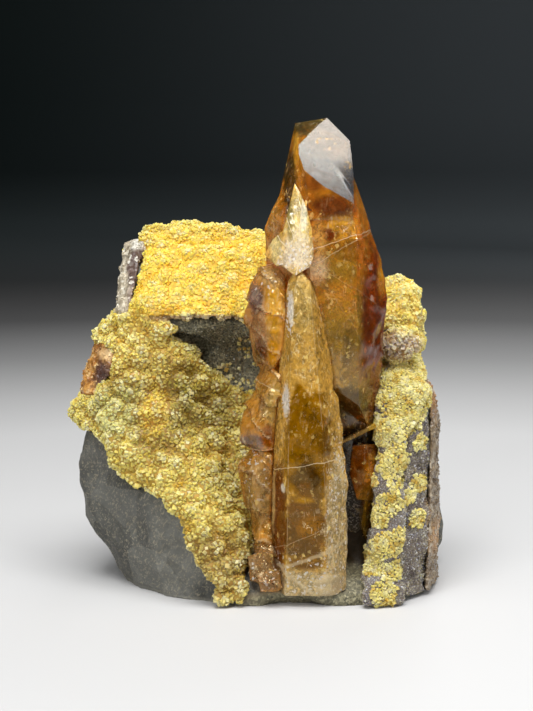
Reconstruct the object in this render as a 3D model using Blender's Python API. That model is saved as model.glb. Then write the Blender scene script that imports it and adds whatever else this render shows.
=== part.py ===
"""Golden barite on a druse-covered mudstone matrix.

A tall amber barite stands in front of a broken piece of dark mudstone.  The
mudstone carries crusts of small yellow calcite crystals, a skin of fine
purple-grey druse and broken rims of older brown calcite.

All places below are in millimetres: X to the right, Y to the back, Z up, and
the specimen stands on Z = 0.  survey() turns them into metres about the
middle of the specimen's footprint.
"""

import math

import bmesh
import bpy
from mathutils import Vector, noise
from mathutils.bvhtree import BVHTree

MM = 0.001
NOISE_STRIDE = Vector((7.3, 3.1, 5.7))   # each seed reads its lumps from its own place in the noise

# ---------------------------------------------------------------- driving dimensions (mm)
FOOTPRINT_MIDDLE = (-0.21, 6.29)  # X and Y of the middle of the footprint
CRYSTAL_TOP = 105.7               # highest point of the barite
BASE_DEPTH = 3.0                  # how far the rock blocks run below Z = 0 before the flat cut
CONTACT_GAP = 0.35                # clear space between pieces that touch
ROCK_VOXEL = 1.5                  # grain of the fused rock before it is thinned out
ROCK_FACES = 1300
ROCK_ROUGHNESS = 0.7              # height of the rock's lumps
ROCK_LUMP_WIDTH = 14.0
ROCK_LUMP_SEED = 1
CRUST_THICKNESS = 3.0             # mean thickness of the yellow druse
CRUST_LUMP = 0.9                  # height of the crust's lumps
CRUST_LUMP_WIDTH = 6.0
LUMP_OCTAVES = 3
SKIN_THICKNESS = 1.2              # thickness of the purple-grey druse
RIM_THICKNESS = 2.0               # thickness of the broken brown calcite
CRYSTAL_PEAK = 0.75               # height of the coarse calcite points on the yellow druse
RIM_PEAK = 0.5                    # and on the broken brown calcite
FINE_PEAK = 0.3                   # and on the purple-grey druse
PEAK_SWING = (0.8, 0.6)           # a point's height: the mean share, and how far it varies
PEAK_VARIES_OVER = 1.1            # distance over which the points' height changes
CREASE_SHARE = 0.2                # a point's height in a sharp crease, against one in the open
SHARP_CREASE = math.radians(60)
FLOOR_CLEARANCE = 0.5             # the lowest that a crust's points may reach
SKIN_REACH = 0.4                  # how near the outer skin a face's middle lies to carry a point
GROW_PASSES = 12                  # rounds of pushing a corner clear of its faces
GROW_LIMIT = 4.0                  # and the furthest it goes, in gaps
CHIP_SIZES = (0.002, 0.02, 0.05, 0.1)   # edges this short are closed up, the least that leaves no opening
ARCH_HALF_WIDTH = 11.25           # the notch under the front edge
ARCH_HEIGHT = 3.2
ARCH_MIDDLE = (6.75, -25)         # X and Y of the notch's middle
FLOOR_CUT = (80, 20)              # half width and depth of the block that cuts the flat base
NEAR, FAR = -40, 12               # front and back of a crust's region, unless its row says otherwise

# ---------------------------------------------------------------- rock blocks
# Each block is the convex hull of its horizontal sections: height -> corners (x, y).
LEFT_FOOT = {
    -BASE_DEPTH: [(-30, 1), (-27, -5), (-21, -11), (-10, -19), (-5, -19), (-2, -12), (-2, 12), (-29, 12)],
    5: [(-36, 4), (-31, -4), (-12, -19), (-7, -17.5), (-3, -10), (-2, 12), (-35.5, 14)],
    12: [(-39, 5), (-31, -5.5), (-14, -18), (-9, -15.5), (-4, -8), (-2, 12), (-39, 18)],
    21: [(-43.2, 7), (-30, -6.5), (-19, -13.5), (-13, -12.5), (-8, -6), (-3, 12), (-42.5, 20)],
    35: [(-40.8, 4), (-34, -1.5), (-21, -4), (-12, 1), (-6, 12), (-41, 20)],
}
LEFT_MASS = {
    28: [(-41, 6), (-34, -2), (-20, -5), (-12, 2), (-6, 12), (-41, 22)],
    43: [(-40.5, 7), (-34, 0.5), (-22, -1.5), (-16, 3), (-12, 14), (-40, 22)],
    53: [(-36.5, 9), (-32, 3), (-24, 2), (-19, 7), (-16, 16), (-36.5, 22)],
    59: [(-33, 12), (-29, 7.5), (-25, 8), (-20, 14), (-33, 22)],
}
BACK_WALL = {
    -BASE_DEPTH: [(-28, 12), (-4, -3), (0, -9), (23, -9), (27, 0), (37, 10), (38, 22), (33, 31),
                  (10, 35.5), (-18, 33), (-27, 26)],
    12: [(-38, 13), (-4, -2), (0, -7), (23, -7), (27, 0), (38, 10), (39, 22), (33, 32),
         (10, 36), (-20, 34), (-37, 27)],
    30: [(-41.5, 14), (-10, 7), (-2, 1), (21, -1), (29, 4), (38, 14), (38, 24), (32, 33), (0, 36), (-32, 31)],
    50: [(-38, 18), (-20, 9), (0, 7), (26, 7), (33, 13), (33, 24), (28, 31), (0, 34), (-30, 30)],
    60: [(-34, 20), (-20, 14), (24, 15), (27, 20), (25, 29), (0, 32), (-28, 29)],
}
LEDGE = {
    56: [(-32, 11), (-28, 9), (-2, 9), (8, 12), (8, 26), (-16, 29), (-31, 24)],
    59: [(-32, 6), (-25, 1), (-4, 1), (8, 6), (8, 27), (-16, 30), (-32, 24)],
    63: [(-32, 8), (-25, 4), (-4, 4), (8, 9), (8, 28), (-16, 31), (-32, 24)],
    73: [(-31.5, 18.5), (-26, 18), (-4, 18), (7, 20), (7, 28), (-16, 31), (-31.5, 24)],
    75: [(-28.5, 23), (-17, 23), (-3, 25), (4, 27), (-10, 30.5), (-28, 28)],
    76.6: [(-26, 25.5), (-19, 25.5), (-15, 28), (-20, 30.5)],
}
RIGHT_WING = {
    -BASE_DEPTH: [(24, -17), (29, -17.5), (34, -11), (36, -3), (37.5, 14), (27, 12), (21, -8)],
    12: [(25, -15.5), (29, -15.5), (34.4, -9), (36.4, -3), (38.5, 16), (28, 12), (22, -5)],
    31: [(26.5, -10.5), (31, -9.5), (35, -6), (36.4, -2), (38, 14), (28, 12), (24, -2)],
    44: [(27, -3.5), (31, -3), (34.6, -2), (35.6, 2), (35.5, 12), (28, 12), (25, 3)],
    46.5: [(28, 0), (33.4, 1), (34, 5), (33, 12), (28, 12)],
}
REAR_FLANK = {
    -BASE_DEPTH: [(30, 14), (43.8, 19), (43.9, 24), (36, 33), (20, 35)],
    8: [(30, 14), (43.6, 20), (43.8, 24), (36, 33), (20, 35)],
    20: [(30, 14), (39, 16), (40, 24), (34, 33), (20, 35)],
}
KNOB = {
    44: [(24, 10), (31.5, 10), (34, 15), (34, 25), (24, 28)],
    55: [(26, 13), (31.5, 13), (34, 17), (33.5, 26), (26, 28)],
    61: [(27, 17), (31, 17), (33, 20), (32, 26), (27, 27)],
    64: [(28, 20), (30.5, 20), (32, 23), (29, 25)],
}
TOE = {
    -BASE_DEPTH: [(-8, -18), (-4, -19.5), (18, -20), (26, -18), (28, -5), (-6, -5)],
    3: [(-8, -17.5), (-4, -19), (18, -19.5), (26, -17), (28, -5), (-6, -5)],
    5.5: [(-6, -14), (0, -15.5), (18, -15.5), (25, -13), (26, -5), (-6, -5)],
}
ROCK_BLOCKS = (LEFT_FOOT, LEFT_MASS, BACK_WALL, LEDGE, RIGHT_WING, REAR_FLANK, KNOB, TOE)

# The hollow under the ledge, cut back to a bare rock wall.
RECESS_FLOOR = {
    40: [(-12, -8), (-2, -8), (4, 2), (2, 6), (-10, 6)],
    46: [(-16, -8), (0, -8), (6, 2), (4, 7), (-13, 7)],
    54: [(-22, -8), (2, -8), (8, 4), (5, 9), (-19, 9)],
    59: [(-28, -8), (2, -8), (8, 1.5), (-26, 1.5)],
}

# ---------------------------------------------------------------- where each crust grows
# Outlines in the front plane (x, z), carried from front to back between two depths.
SLOPE_OUTLINE = [(-44, 37), (-39, 34.8), (-36.6, 34.7), (-34.9, 31.9), (-33.6, 28), (-31.1, 25),
                 (-26.4, 23.8), (-22.6, 22.5), (-20.1, 20.2), (-18.6, 16.9), (-16.8, 13.4),
                 (-14.7, 9.8), (-12.5, 6.3), (-10.6, 0.9), (-5.2, 0.9), (-4.6, 6), (-3, 13), (2, 18), (3, 47),
                 (-5, 43), (-9, 46), (-13, 49.5), (-15.5, 53), (-20.5, 55.6), (-26.5, 59), (-27, 62),
                 (-37, 62), (-44, 50)]
LEDGE_OUTLINE = [(-36, 58.5), (-26, 58.4), (-12, 57.8), (9, 57.6), (9, 84), (-36, 84)]
RIGHT_STRIP_OUTLINE = [(21, 0.9), (29.2, 0.9), (28.5, 9.5), (30.2, 18), (29, 26.5), (30.4, 34), (33.4, 39),
                       (35.4, 46), (37.5, 50), (37, 54), (24, 54), (23, 40), (24, 20)]
KNOB_OUTLINE = [(9.4, 58), (26, 58), (31, 57.4), (34, 54.6), (36, 51.5), (40, 51.5), (40, 72), (9.4, 72)]
GREY_OUTLINE = [(26, 0.9), (36, 0.9), (37.2, 20), (37.4, 34), (37.6, 46), (37, 52), (26, 40)]
BROWN_LEFT_OUTLINE = [(-44, 42), (-39, 43.5), (-35.6, 48), (-34.8, 52.6), (-37.4, 54.6), (-44, 52)]
BROWN_UPPER_OUTLINE = [(-36, 60.5), (-31.5, 62), (-29.5, 70), (-28.5, 75.5), (-31, 79), (-37, 77)]
BROWN_RIGHT_OUTLINE = [(35.4, 0.9), (42, 0.9), (42, 52), (35.8, 50), (37, 44), (36.6, 30), (36.2, 18)]

# Skins: thickness, height of the lumps and seed.  Crusts are made in this order, and each one
# leaves room for those before it.  A region is an outline with its front and back depth.
SKINS = {
    "druse": (CRUST_THICKNESS, CRUST_LUMP, 2),
    "fine": (SKIN_THICKNESS, 0.3, 3),
    "rim": (RIM_THICKNESS, 0.5, 4),
}
CRUSTS = {
    "brown_calcite_left": {"skin": "rim", "faces": 120, "points": RIM_PEAK,
                           "regions": [(BROWN_LEFT_OUTLINE, -6, 16)]},
    "brown_calcite_upper": {"skin": "rim", "faces": 120, "points": RIM_PEAK,
                            "regions": [(BROWN_UPPER_OUTLINE, -6, 26)]},
    "brown_calcite_right": {"skin": "rim", "faces": 130, "points": RIM_PEAK,
                            "regions": [(BROWN_RIGHT_OUTLINE, -12, FAR)]},
    "yellow_druse_left": {"skin": "druse", "faces": 1000, "points": CRYSTAL_PEAK,
                          "regions": [(SLOPE_OUTLINE, NEAR, FAR), (LEDGE_OUTLINE, NEAR, 33)]},
    "yellow_druse_right": {"skin": "druse", "faces": 290, "points": CRYSTAL_PEAK,
                           "regions": [(RIGHT_STRIP_OUTLINE, NEAR, FAR)]},
    "yellow_druse_knob": {"skin": "druse", "faces": 180, "points": CRYSTAL_PEAK,
                          "regions": [(KNOB_OUTLINE, NEAR, 31)]},
    "grey_druse_right": {"skin": "fine", "faces": 180, "points": FINE_PEAK,
                         "regions": [(GREY_OUTLINE, NEAR, 4)]},
}

# ---------------------------------------------------------------- barite
# The plane of the large polished face at the tip: depth from x and z.
TIP_FACE = (0.155, 0.510, 58.5, 0.846)


def tip_face(x, z):
    """A point of the large tip face, given its x and z."""
    along, up, offset, depth = TIP_FACE
    return (x, (along * x + up * z - offset) / depth, z)


TIP = [tip_face(13.3, CRYSTAL_TOP), tip_face(18.2, 100.8), tip_face(18.9, 93.8), tip_face(18.8, 90.3),
       tip_face(14.7, 87.7), tip_face(8.6, 94.3), tip_face(7.0, 98.0), tip_face(7.0, 100.0),
       tip_face(11.0, 103.9), (6.3, -1.0, 104.5), (9.0, 2.4, 103.2), (17.5, 1.5, 99.0), (18.9, -2.0, 93.0),
       (4.9, -3.5, 95.2), (3.9, -4.0, 90.4), (5.2, 2.5, 97.0), (1.8, -6.0, 84.0), (8.5, -12.9, 86.0),
       (18.7, -11.5, 85.0), (19.3, -4.0, 84.0), (17.0, 5.0, 84.0), (7.0, 7.0, 84.0), (1.8, 3.0, 84.0)]
SHAFT = {
    93.5: [(5.2, -4), (8.8, -9.5), (17, -8.5), (18.9, -5), (17.5, 3), (9, 5), (5.5, 2)],
    86: [(1.4, -5), (8.4, -12.8), (18.6, -11.5), (21.6, -5), (19.5, 5), (9, 7.5), (2, 4)],
    80: [(-0.2, -5.5), (9, -13.5), (19.6, -13), (23.5, -5), (21, 6), (9.5, 9), (1, 5)],
    73: [(0, -6), (9.4, -14), (19.6, -13.8), (25.7, -4.5), (23, 7), (10, 10), (0.8, 5.5)],
    66: [(0.2, -6), (10, -14.3), (19.6, -14.2), (26.7, -4.5), (23.8, 7.5), (10, 10.5), (1, 6)],
    56: [(0.5, -6), (11, -14.5), (20, -14.3), (25.8, -4.5), (23, 7.5), (10, 10), (1.5, 5.5)],
    41: [(1, -5), (11, -13), (20.2, -13.5), (24.2, -4.5), (22, 7), (10, 9.5), (2, 5)],
    7: [(4, -3), (10, -8), (19, -8), (22, -3.5), (20.5, 5), (10, 7), (4, 4)],
}
BROKEN_FRONT = [(11.4, -20, 54.2), (27, -20, 38.5), (27, -8.5, 35), (11.4, -8.5, 45.5), (27, -5.5, 5),
                (7, -5.5, 5), (7, -20, 5), (27, -20, 5)]
SHOULDER = [(3.9, -4, 90.2), (1.2, -7, 85.9), (-0.5, -7, 81.7), (0.1, -7.5, 77.6), (4.5, -10, 87.5),
            (5.6, -12.2, 83), (4.6, -12, 76.4), (5, -3, 75.4), (6, -2, 89)]
FRONT_BLADE = [(6.6, -10.2, 91), (10.2, -14, 84.5), (10.4, -15, 75), (8.6, -15.6, 70), (4.6, -14.2, 72),
               (3.8, -12.2, 82), (7, -6, 90), (7, -6, 70)]
COLUMN = {
    72.5: [(4.8, -15.6), (9.2, -17), (9.8, -13), (5, -12)],
    66: [(3.6, -14.5), (5.6, -17.8), (9.6, -19), (11.4, -14), (10, -9), (4, -9)],
    57: [(3.2, -14.5), (5.4, -19.4), (10, -20.4), (12.7, -15), (11, -8), (4, -8)],
    50.5: [(2.8, -15), (5, -20.6), (11, -21.6), (14.6, -16.5), (13.5, -8), (4, -8)],
    40: [(2.2, -16), (4.8, -21.8), (12, -22.8), (16.4, -17.2), (15, -8), (3, -8)],
    27: [(1.2, -16.5), (4.6, -22.6), (12.6, -23.6), (17.6, -17.6), (17, -8), (2, -8)],
    13: [(0.9, -16.5), (4.4, -22.8), (13, -23.9), (17.5, -18), (17, -8), (2, -8)],
    2.6: [(2, -16), (4, -20.6), (13, -21.4), (17.4, -18), (16.5, -8), (2, -8)],
}
FOOT_FACET = ((8.2, -24.2, 7.7), (14.6, -24.0, 11.0), (17.6, -19.5, 2.1))
UPPER_LOBE = [(-1.6, -8, 73), (-3.8, -9, 69.4), (-4.7, -9, 65), (-4.4, -9, 60), (-2.5, -9, 53.2),
              (-1.2, -9, 49.6), (1, -13.6, 71.6), (-0.6, -14.2, 62), (1.4, -14.8, 52), (4, -16.4, 67),
              (4, -17, 56), (1, -3, 72), (-1.6, -3, 62), (1, -3, 51), (4, -5, 74.5), (4, -5, 48.5)]
MIDDLE_LOBE = [(-1.8, -10, 48), (-4.5, -11, 43.4), (-5.8, -12, 39), (-5.5, -12, 35.4), (-3.2, -12, 33.8),
               (-0.6, -16, 45.6), (-2, -17.6, 39), (0, -17.6, 34.2), (3.5, -18, 47), (0, -5, 47),
               (-2, -5, 36), (3, -5, 33.8), (3.5, -5, 48), (3.5, -18.6, 34)]
LOWER_LOBE = [(-3.2, -11, 34.2), (-6.4, -12, 29.4), (-5.7, -12, 24.8), (-3.4, -13, 19.8), (-2.2, -14, 14.8),
              (-1.6, -18, 32), (-2.5, -19.4, 26), (0, -20.4, 18), (3, -21, 33), (3, -21, 15.6),
              (-1, -5, 32), (-1, -5, 20), (3, -5, 33), (3, -5, 15)]
UPPER_AMBER_LOBE = [(19, -12, 34), (22, -12.6, 34.6), (25, -7, 33.6), (25.8, -5, 28.6), (26.1, -5, 23),
                    (24, -9.4, 21.4), (20, -13.2, 22.4), (18.4, -12, 28), (24.6, 2, 32), (25, 2, 24),
                    (19, 0, 33), (19, 0, 22), (22.6, -13.4, 28)]
LOWER_AMBER_LOBE = [(22, -11.6, 22.8), (24.7, -7, 22.8), (25.1, -5, 17), (23.7, -5, 12.8), (22.2, -9, 12.2),
                    (21, -11, 16.4), (24.6, 2, 22), (23.6, 2, 13), (20.5, 0, 22), (20.5, 0, 12.4)]
FOOT_CRYSTALS = (
    [(-4.4, -18, 10), (-1.4, -20.4, 12.6), (1.6, -19, 12), (0.8, -21.6, 8.6), (-3.6, -20.6, 5.6),
     (1.8, -20, 4.6), (-4, -14, 9), (2.5, -13, 12), (2.5, -13, 4.6), (-3.6, -14, 5)],
    [(-2.4, -21, 7), (1.2, -22.6, 8.4), (2.8, -21, 8), (3, -21.6, 3.6), (-1.4, -21.2, 3.6), (0, -14, 8),
     (4.4, -14, 8), (4.4, -14, 3.6), (-1, -14, 3.6)],
)
BARITE_CRYSTALS = (TIP, SHOULDER, FRONT_BLADE, UPPER_LOBE, MIDDLE_LOBE, LOWER_LOBE,
                   UPPER_AMBER_LOBE, LOWER_AMBER_LOBE) + FOOT_CRYSTALS

# ---------------------------------------------------------------- finishes
FINISHES = {
    "mudstone_matrix": ((0.07, 0.07, 0.065), 0.75),
    "golden_barite": ((0.45, 0.22, 0.05), 0.12),
    "yellow_druse_left": ((0.72, 0.52, 0.16), 0.5),
    "yellow_druse_right": ((0.68, 0.52, 0.18), 0.5),
    "yellow_druse_knob": ((0.72, 0.52, 0.16), 0.5),
    "grey_druse_right": ((0.23, 0.19, 0.18), 0.6),
    "brown_calcite_left": ((0.30, 0.14, 0.05), 0.4),
    "brown_calcite_upper": ((0.22, 0.14, 0.11), 0.5),
    "brown_calcite_right": ((0.22, 0.11, 0.05), 0.45),
}


# ---------------------------------------------------------------- tools
def survey(point):
    """A place in millimetres as metres about the footprint's middle."""
    x, y, z = point
    return Vector((x - FOOTPRINT_MIDDLE[0], y - FOOTPRINT_MIDDLE[1], z)) * MM


def corners(sections):
    """Every corner of a dictionary of horizontal sections."""
    return [(x, y, z) for z, outline in sections.items() for x, y in outline]


def clear_scene():
    for obj in list(bpy.data.objects):
        bpy.data.objects.remove(obj, do_unlink=True)


def new_object(name, bm):
    """A linked object that takes over a finished bmesh."""
    bmesh.ops.recalc_face_normals(bm, faces=bm.faces)
    mesh = bpy.data.meshes.new(name)
    bm.to_mesh(mesh)
    bm.free()
    obj = bpy.data.objects.new(name, mesh)
    bpy.context.collection.objects.link(obj)
    return obj


def hull(name, points):
    """The convex solid around a few corner points."""
    bm = bmesh.new()
    for point in points:
        bm.verts.new(survey(point))
    found = bmesh.ops.convex_hull(bm, input=bm.verts)
    inner = {e for e in found["geom_interior"] + found["geom_unused"] if isinstance(e, bmesh.types.BMVert)}
    bmesh.ops.delete(bm, geom=list(inner), context="VERTS")
    bmesh.ops.dissolve_limit(bm, angle_limit=math.radians(1), verts=bm.verts, edges=bm.edges)
    return new_object(name, bm)


def prism(name, outline, front, back):
    """A front-plane outline (x, z) carried from one depth to another."""
    bm = bmesh.new()
    face = bm.faces.new([bm.verts.new(survey((x, front, z))) for x, z in outline])
    pushed = bmesh.ops.extrude_face_region(bm, geom=[face])
    moved = [e for e in pushed["geom"] if isinstance(e, bmesh.types.BMVert)]
    bmesh.ops.translate(bm, verts=moved, vec=Vector((0, back - front, 0)) * MM)
    return new_object(name, bm)


def bake(obj):
    """Put an object's modifiers into its mesh."""
    graph = bpy.context.evaluated_depsgraph_get()
    graph.update()
    mesh = bpy.data.meshes.new_from_object(obj.evaluated_get(graph))
    obj.modifiers.clear()
    obj.data = mesh
    return obj


def combine(obj, others, operation):
    """Union, difference or intersection with each other object in turn, which is used up."""
    for other in others:
        modifier = obj.modifiers.new(operation, "BOOLEAN")
        modifier.operation = operation
        modifier.object = other
        modifier.solver = "EXACT"
        bake(obj)
        bpy.data.objects.remove(other, do_unlink=True)
    return obj


def copy_of(obj, name):
    copy = bpy.data.objects.new(name, obj.data.copy())
    bpy.context.collection.objects.link(copy)
    return copy


def fuse_to_voxels(obj, voxel):
    modifier = obj.modifiers.new("fuse", "REMESH")
    modifier.mode = "VOXEL"
    modifier.voxel_size = voxel * MM
    return bake(obj)


def weld(obj, step):
    """Merge vertices that are nearer to each other than a step in millimetres."""
    bm = bmesh.new()
    bm.from_mesh(obj.data)
    bmesh.ops.remove_doubles(bm, verts=bm.verts, dist=step * MM)
    bmesh.ops.dissolve_degenerate(bm, edges=bm.edges, dist=step * MM)
    bm.to_mesh(obj.data)
    bm.free()
    return obj


def is_closed(obj):
    bm = bmesh.new()
    bm.from_mesh(obj.data)
    closed = all(len(edge.link_faces) == 2 for edge in bm.edges)
    bm.free()
    return closed


def thin_out(obj, faces):
    """Reduce a dense mesh to about a number of triangles, closing up chips if they would open it."""
    dense = obj.data
    for chip in CHIP_SIZES:
        obj.data = dense.copy()
        weld(obj, chip)
        triangles = sum(len(p.vertices) - 2 for p in obj.data.polygons)
        modifier = obj.modifiers.new("thin", "DECIMATE")
        modifier.ratio = min(1.0, faces / triangles)
        modifier.use_collapse_triangulate = True
        bake(obj)
        if is_closed(obj):
            break
    return obj


def roughen(obj, height, grain, seed, offset=0.0):
    """Push the surface out by an even offset and lumps of a height and width, in millimetres."""
    bm = bmesh.new()
    bm.from_mesh(obj.data)
    shift = NOISE_STRIDE * seed
    bm.normal_update()
    moves = []
    for vert in bm.verts:
        lump = noise.fractal(vert.co / (grain * MM) + shift, 1.0, 2.0, LUMP_OCTAVES)
        moves.append(vert.normal * (offset + height * lump) * MM)
    for vert, move in zip(bm.verts, moves):
        vert.co += move
    bm.to_mesh(obj.data)
    bm.free()
    return obj


def clear_step(normals, gap):
    """The shift that puts a corner a gap in front of every face that meets there."""
    step = Vector()
    for _ in range(GROW_PASSES):
        for normal in normals:
            short = gap - normal.dot(step)
            if short > 0:
                step += normal * short
    return step.normalized() * min(step.length, GROW_LIMIT * gap)


def grown_copy(obj, gap):
    """A copy whose every face lies a gap further out, for cutting a neighbour to fit."""
    bm = bmesh.new()
    bm.from_mesh(obj.data)
    bm.normal_update()
    moves = [clear_step([face.normal for face in vert.link_faces], gap * MM) for vert in bm.verts]
    for vert, move in zip(bm.verts, moves):
        vert.co += move
    return new_object(obj.name + "_room", bm)


def raise_points(obj, height, skin, clear_of):
    """Turn the faces on a crust's outer skin into low pyramids, like coarse crystal points."""
    skin_tree = surface_tree(skin)
    near_trees = [surface_tree(other) for other in clear_of]
    bm = bmesh.new()
    bm.from_mesh(obj.data)
    bm.normal_update()
    for face in list(bm.faces):
        middle = face.calc_center_median()
        if skin_tree.find_nearest(middle)[3] > SKIN_REACH * MM:
            continue
        if min(tree.find_nearest(middle)[3] for tree in near_trees) < 2 * height * MM:
            continue
        size = math.sqrt(face.calc_area()) / MM
        mean, swing = PEAK_SWING
        share = mean + swing * noise.noise(middle / (PEAK_VARIES_OVER * MM))
        lift = height * min(size / 2.0, 1.0) * share * openness(face)
        outward = face.normal * lift * MM
        if (middle + outward).z < FLOOR_CLEARANCE * MM:
            continue
        point = bmesh.ops.poke(bm, faces=[face])["verts"][0]
        point.co += outward
    bm.to_mesh(obj.data)
    bm.free()
    return obj


def openness(face):
    """1 on a ridge or a flat, falling to CREASE_SHARE where the face lies in a sharp crease."""
    deepest = min((e.calc_face_angle_signed(0.0) for e in face.edges), default=0.0)
    return max(CREASE_SHARE, min(1.0, 1.0 + deepest / SHARP_CREASE))


def surface_tree(obj):
    bm = bmesh.new()
    bm.from_mesh(obj.data)
    tree = BVHTree.FromBMesh(bm)
    bm.free()
    return tree


def tidy_solid(obj):
    """Weld, triangulate and keep only the largest body of a mesh."""
    rough = obj.data
    for chip in CHIP_SIZES:
        obj.data = rough.copy()
        weld(obj, chip)
        keep_largest_body(obj)
        if is_closed(obj):
            break
    return obj


def keep_largest_body(obj):
    bm = bmesh.new()
    bm.from_mesh(obj.data)
    bmesh.ops.triangulate(bm, faces=bm.faces)
    for body in split_bodies(bm)[1:]:
        bmesh.ops.delete(bm, geom=body, context="FACES")
    bmesh.ops.recalc_face_normals(bm, faces=bm.faces)
    bm.to_mesh(obj.data)
    bm.free()


def split_bodies(bm):
    """Groups of connected faces, the one with the most area first."""
    left = set(bm.faces)
    bodies = []
    while left:
        start = left.pop()
        body, edge_faces = [start], [start]
        while edge_faces:
            face = edge_faces.pop()
            for edge in face.edges:
                for near in edge.link_faces:
                    if near in left:
                        left.remove(near)
                        body.append(near)
                        edge_faces.append(near)
        bodies.append(body)
    return sorted(bodies, key=lambda faces: -sum(f.calc_area() for f in faces))


def finish(obj, name):
    """Give a finished piece its name, its own material and flat faces."""
    colour, roughness = FINISHES[name]
    obj.name = name
    obj.data.name = name
    material = bpy.data.materials.new(name)
    material.use_nodes = True
    shader = material.node_tree.nodes["Principled BSDF"]
    shader.inputs["Base Color"].default_value = (*colour, 1.0)
    shader.inputs["Roughness"].default_value = roughness
    shader.inputs["Metallic"].default_value = 0.0
    obj.data.materials.clear()
    obj.data.materials.append(material)
    return obj


# ---------------------------------------------------------------- the pieces
def floor_box():
    """A wide box below the floor that cuts a flat base."""
    reach, depth = FLOOR_CUT
    across = (-reach, reach)
    return hull("floor_cut", [(x, y, z) for x in across for y in across for z in (-depth, 0)])


def arch_cutter():
    """The shallow scoop under the middle of the front edge."""
    radius = (ARCH_HALF_WIDTH ** 2 + ARCH_HEIGHT ** 2) / (2 * ARCH_HEIGHT)
    bm = bmesh.new()
    bmesh.ops.create_icosphere(bm, subdivisions=3, radius=radius * MM)
    bmesh.ops.translate(bm, verts=bm.verts, vec=survey((*ARCH_MIDDLE, ARCH_HEIGHT - radius)))
    return new_object("arch_cut", bm)


def make_rock():
    """The mudstone: its fused blocks, and the dense version that the crusts grow on."""
    blocks = [hull("block", corners(block)) for block in ROCK_BLOCKS]
    rock = combine(blocks[0], blocks[1:], "UNION")
    combine(rock, [hull("recess", corners(RECESS_FLOOR))], "DIFFERENCE")
    fuse_to_voxels(rock, ROCK_VOXEL)
    roughen(rock, ROCK_ROUGHNESS, ROCK_LUMP_WIDTH, ROCK_LUMP_SEED)
    dense = copy_of(rock, "dense")
    thin_out(rock, ROCK_FACES)
    combine(rock, [arch_cutter(), floor_box()], "DIFFERENCE")
    return tidy_solid(rock), dense


def make_barite(rock):
    """All the barite crystals, grown into one."""
    shaft = hull("shaft", corners(SHAFT))
    combine(shaft, [hull("broken", BROKEN_FRONT)], "DIFFERENCE")
    column = hull("column", corners(COLUMN))
    cut_facet(column, FOOT_FACET)
    combine(shaft, [column], "UNION")
    combine(shaft, [hull("crystal", points) for points in BARITE_CRYSTALS], "UNION")
    combine(shaft, [grown_copy(rock, CONTACT_GAP)], "DIFFERENCE")
    return tidy_solid(shaft)


def cut_facet(obj, plane_points):
    """Slice a corner off a convex crystal along the plane through three points."""
    a, b, c = (survey(p) for p in plane_points)
    normal = (b - a).cross(c - a).normalized()
    if normal.y > 0:
        normal.negate()
    bm = bmesh.new()
    bm.from_mesh(obj.data)
    geometry = bm.verts[:] + bm.edges[:] + bm.faces[:]
    cut = bmesh.ops.bisect_plane(bm, geom=geometry, plane_co=a, plane_no=normal, clear_outer=True)
    rim = [e for e in cut["geom_cut"] if isinstance(e, bmesh.types.BMEdge)]
    bmesh.ops.contextual_create(bm, geom=rim)
    bmesh.ops.recalc_face_normals(bm, faces=bm.faces)
    bm.to_mesh(obj.data)
    bm.free()


def make_crust(swollen, zone, faces, point_height, cutters):
    """A crust over part of the rock: the swollen rock inside its zone, less what it grows on."""
    crust = copy_of(swollen, "crust")
    combine(crust, [zone], "INTERSECT")
    thin_out(crust, faces)
    combine(crust, [copy_of(cutter, "room") for cutter in cutters], "DIFFERENCE")
    tidy_solid(crust)
    return raise_points(crust, point_height, swollen, cutters)


def swell(dense, thickness, lump, seed):
    """The dense rock grown by a crust's thickness, with lumps, as one closed skin."""
    swollen = copy_of(dense, "swollen")
    roughen(swollen, lump, CRUST_LUMP_WIDTH, seed, offset=thickness)
    return fuse_to_voxels(swollen, ROCK_VOXEL)


def regions(name, gap=0.0):
    """The prisms in which a crust grows, or the room they take from the crusts beside them."""
    made = [prism(name, outline, front, back) for outline, front, back in CRUSTS[name]["regions"]]
    if not gap:
        return made
    rooms = [grown_copy(part, gap) for part in made]
    for part in made:
        bpy.data.objects.remove(part, do_unlink=True)
    return rooms


def build_specimen():
    clear_scene()
    rock, dense = make_rock()
    barite = make_barite(rock)
    pieces = {"mudstone_matrix": rock, "golden_barite": barite}
    cutters = [grown_copy(rock, CONTACT_GAP), grown_copy(barite, CONTACT_GAP)]
    skins = {name: swell(dense, *values) for name, values in SKINS.items()}
    made = []
    for name, crust in CRUSTS.items():
        parts = regions(name)
        zone = combine(parts[0], parts[1:], "UNION")
        combine(zone, [room for before in made for room in regions(before, CONTACT_GAP)], "DIFFERENCE")
        pieces[name] = make_crust(skins[crust["skin"]], zone, crust["faces"], crust["points"], cutters)
        made.append(name)
    for spare in cutters + list(skins.values()) + [dense]:
        bpy.data.objects.remove(spare, do_unlink=True)
    for name, piece in pieces.items():
        finish(piece, name)


build_specimen()
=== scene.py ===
"""Golden barite on a druse-covered mudstone matrix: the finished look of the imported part.

Places are survey millimetres, as in the part's own source: X to the right, Y to
the back, Z up from the shelf.  survey() turns them into metres of the part's frame.
"""

import bisect
import contextlib
import math
import random

import bmesh
import bpy
from mathutils import Matrix, Vector, noise
from mathutils.bvhtree import BVHTree


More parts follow.
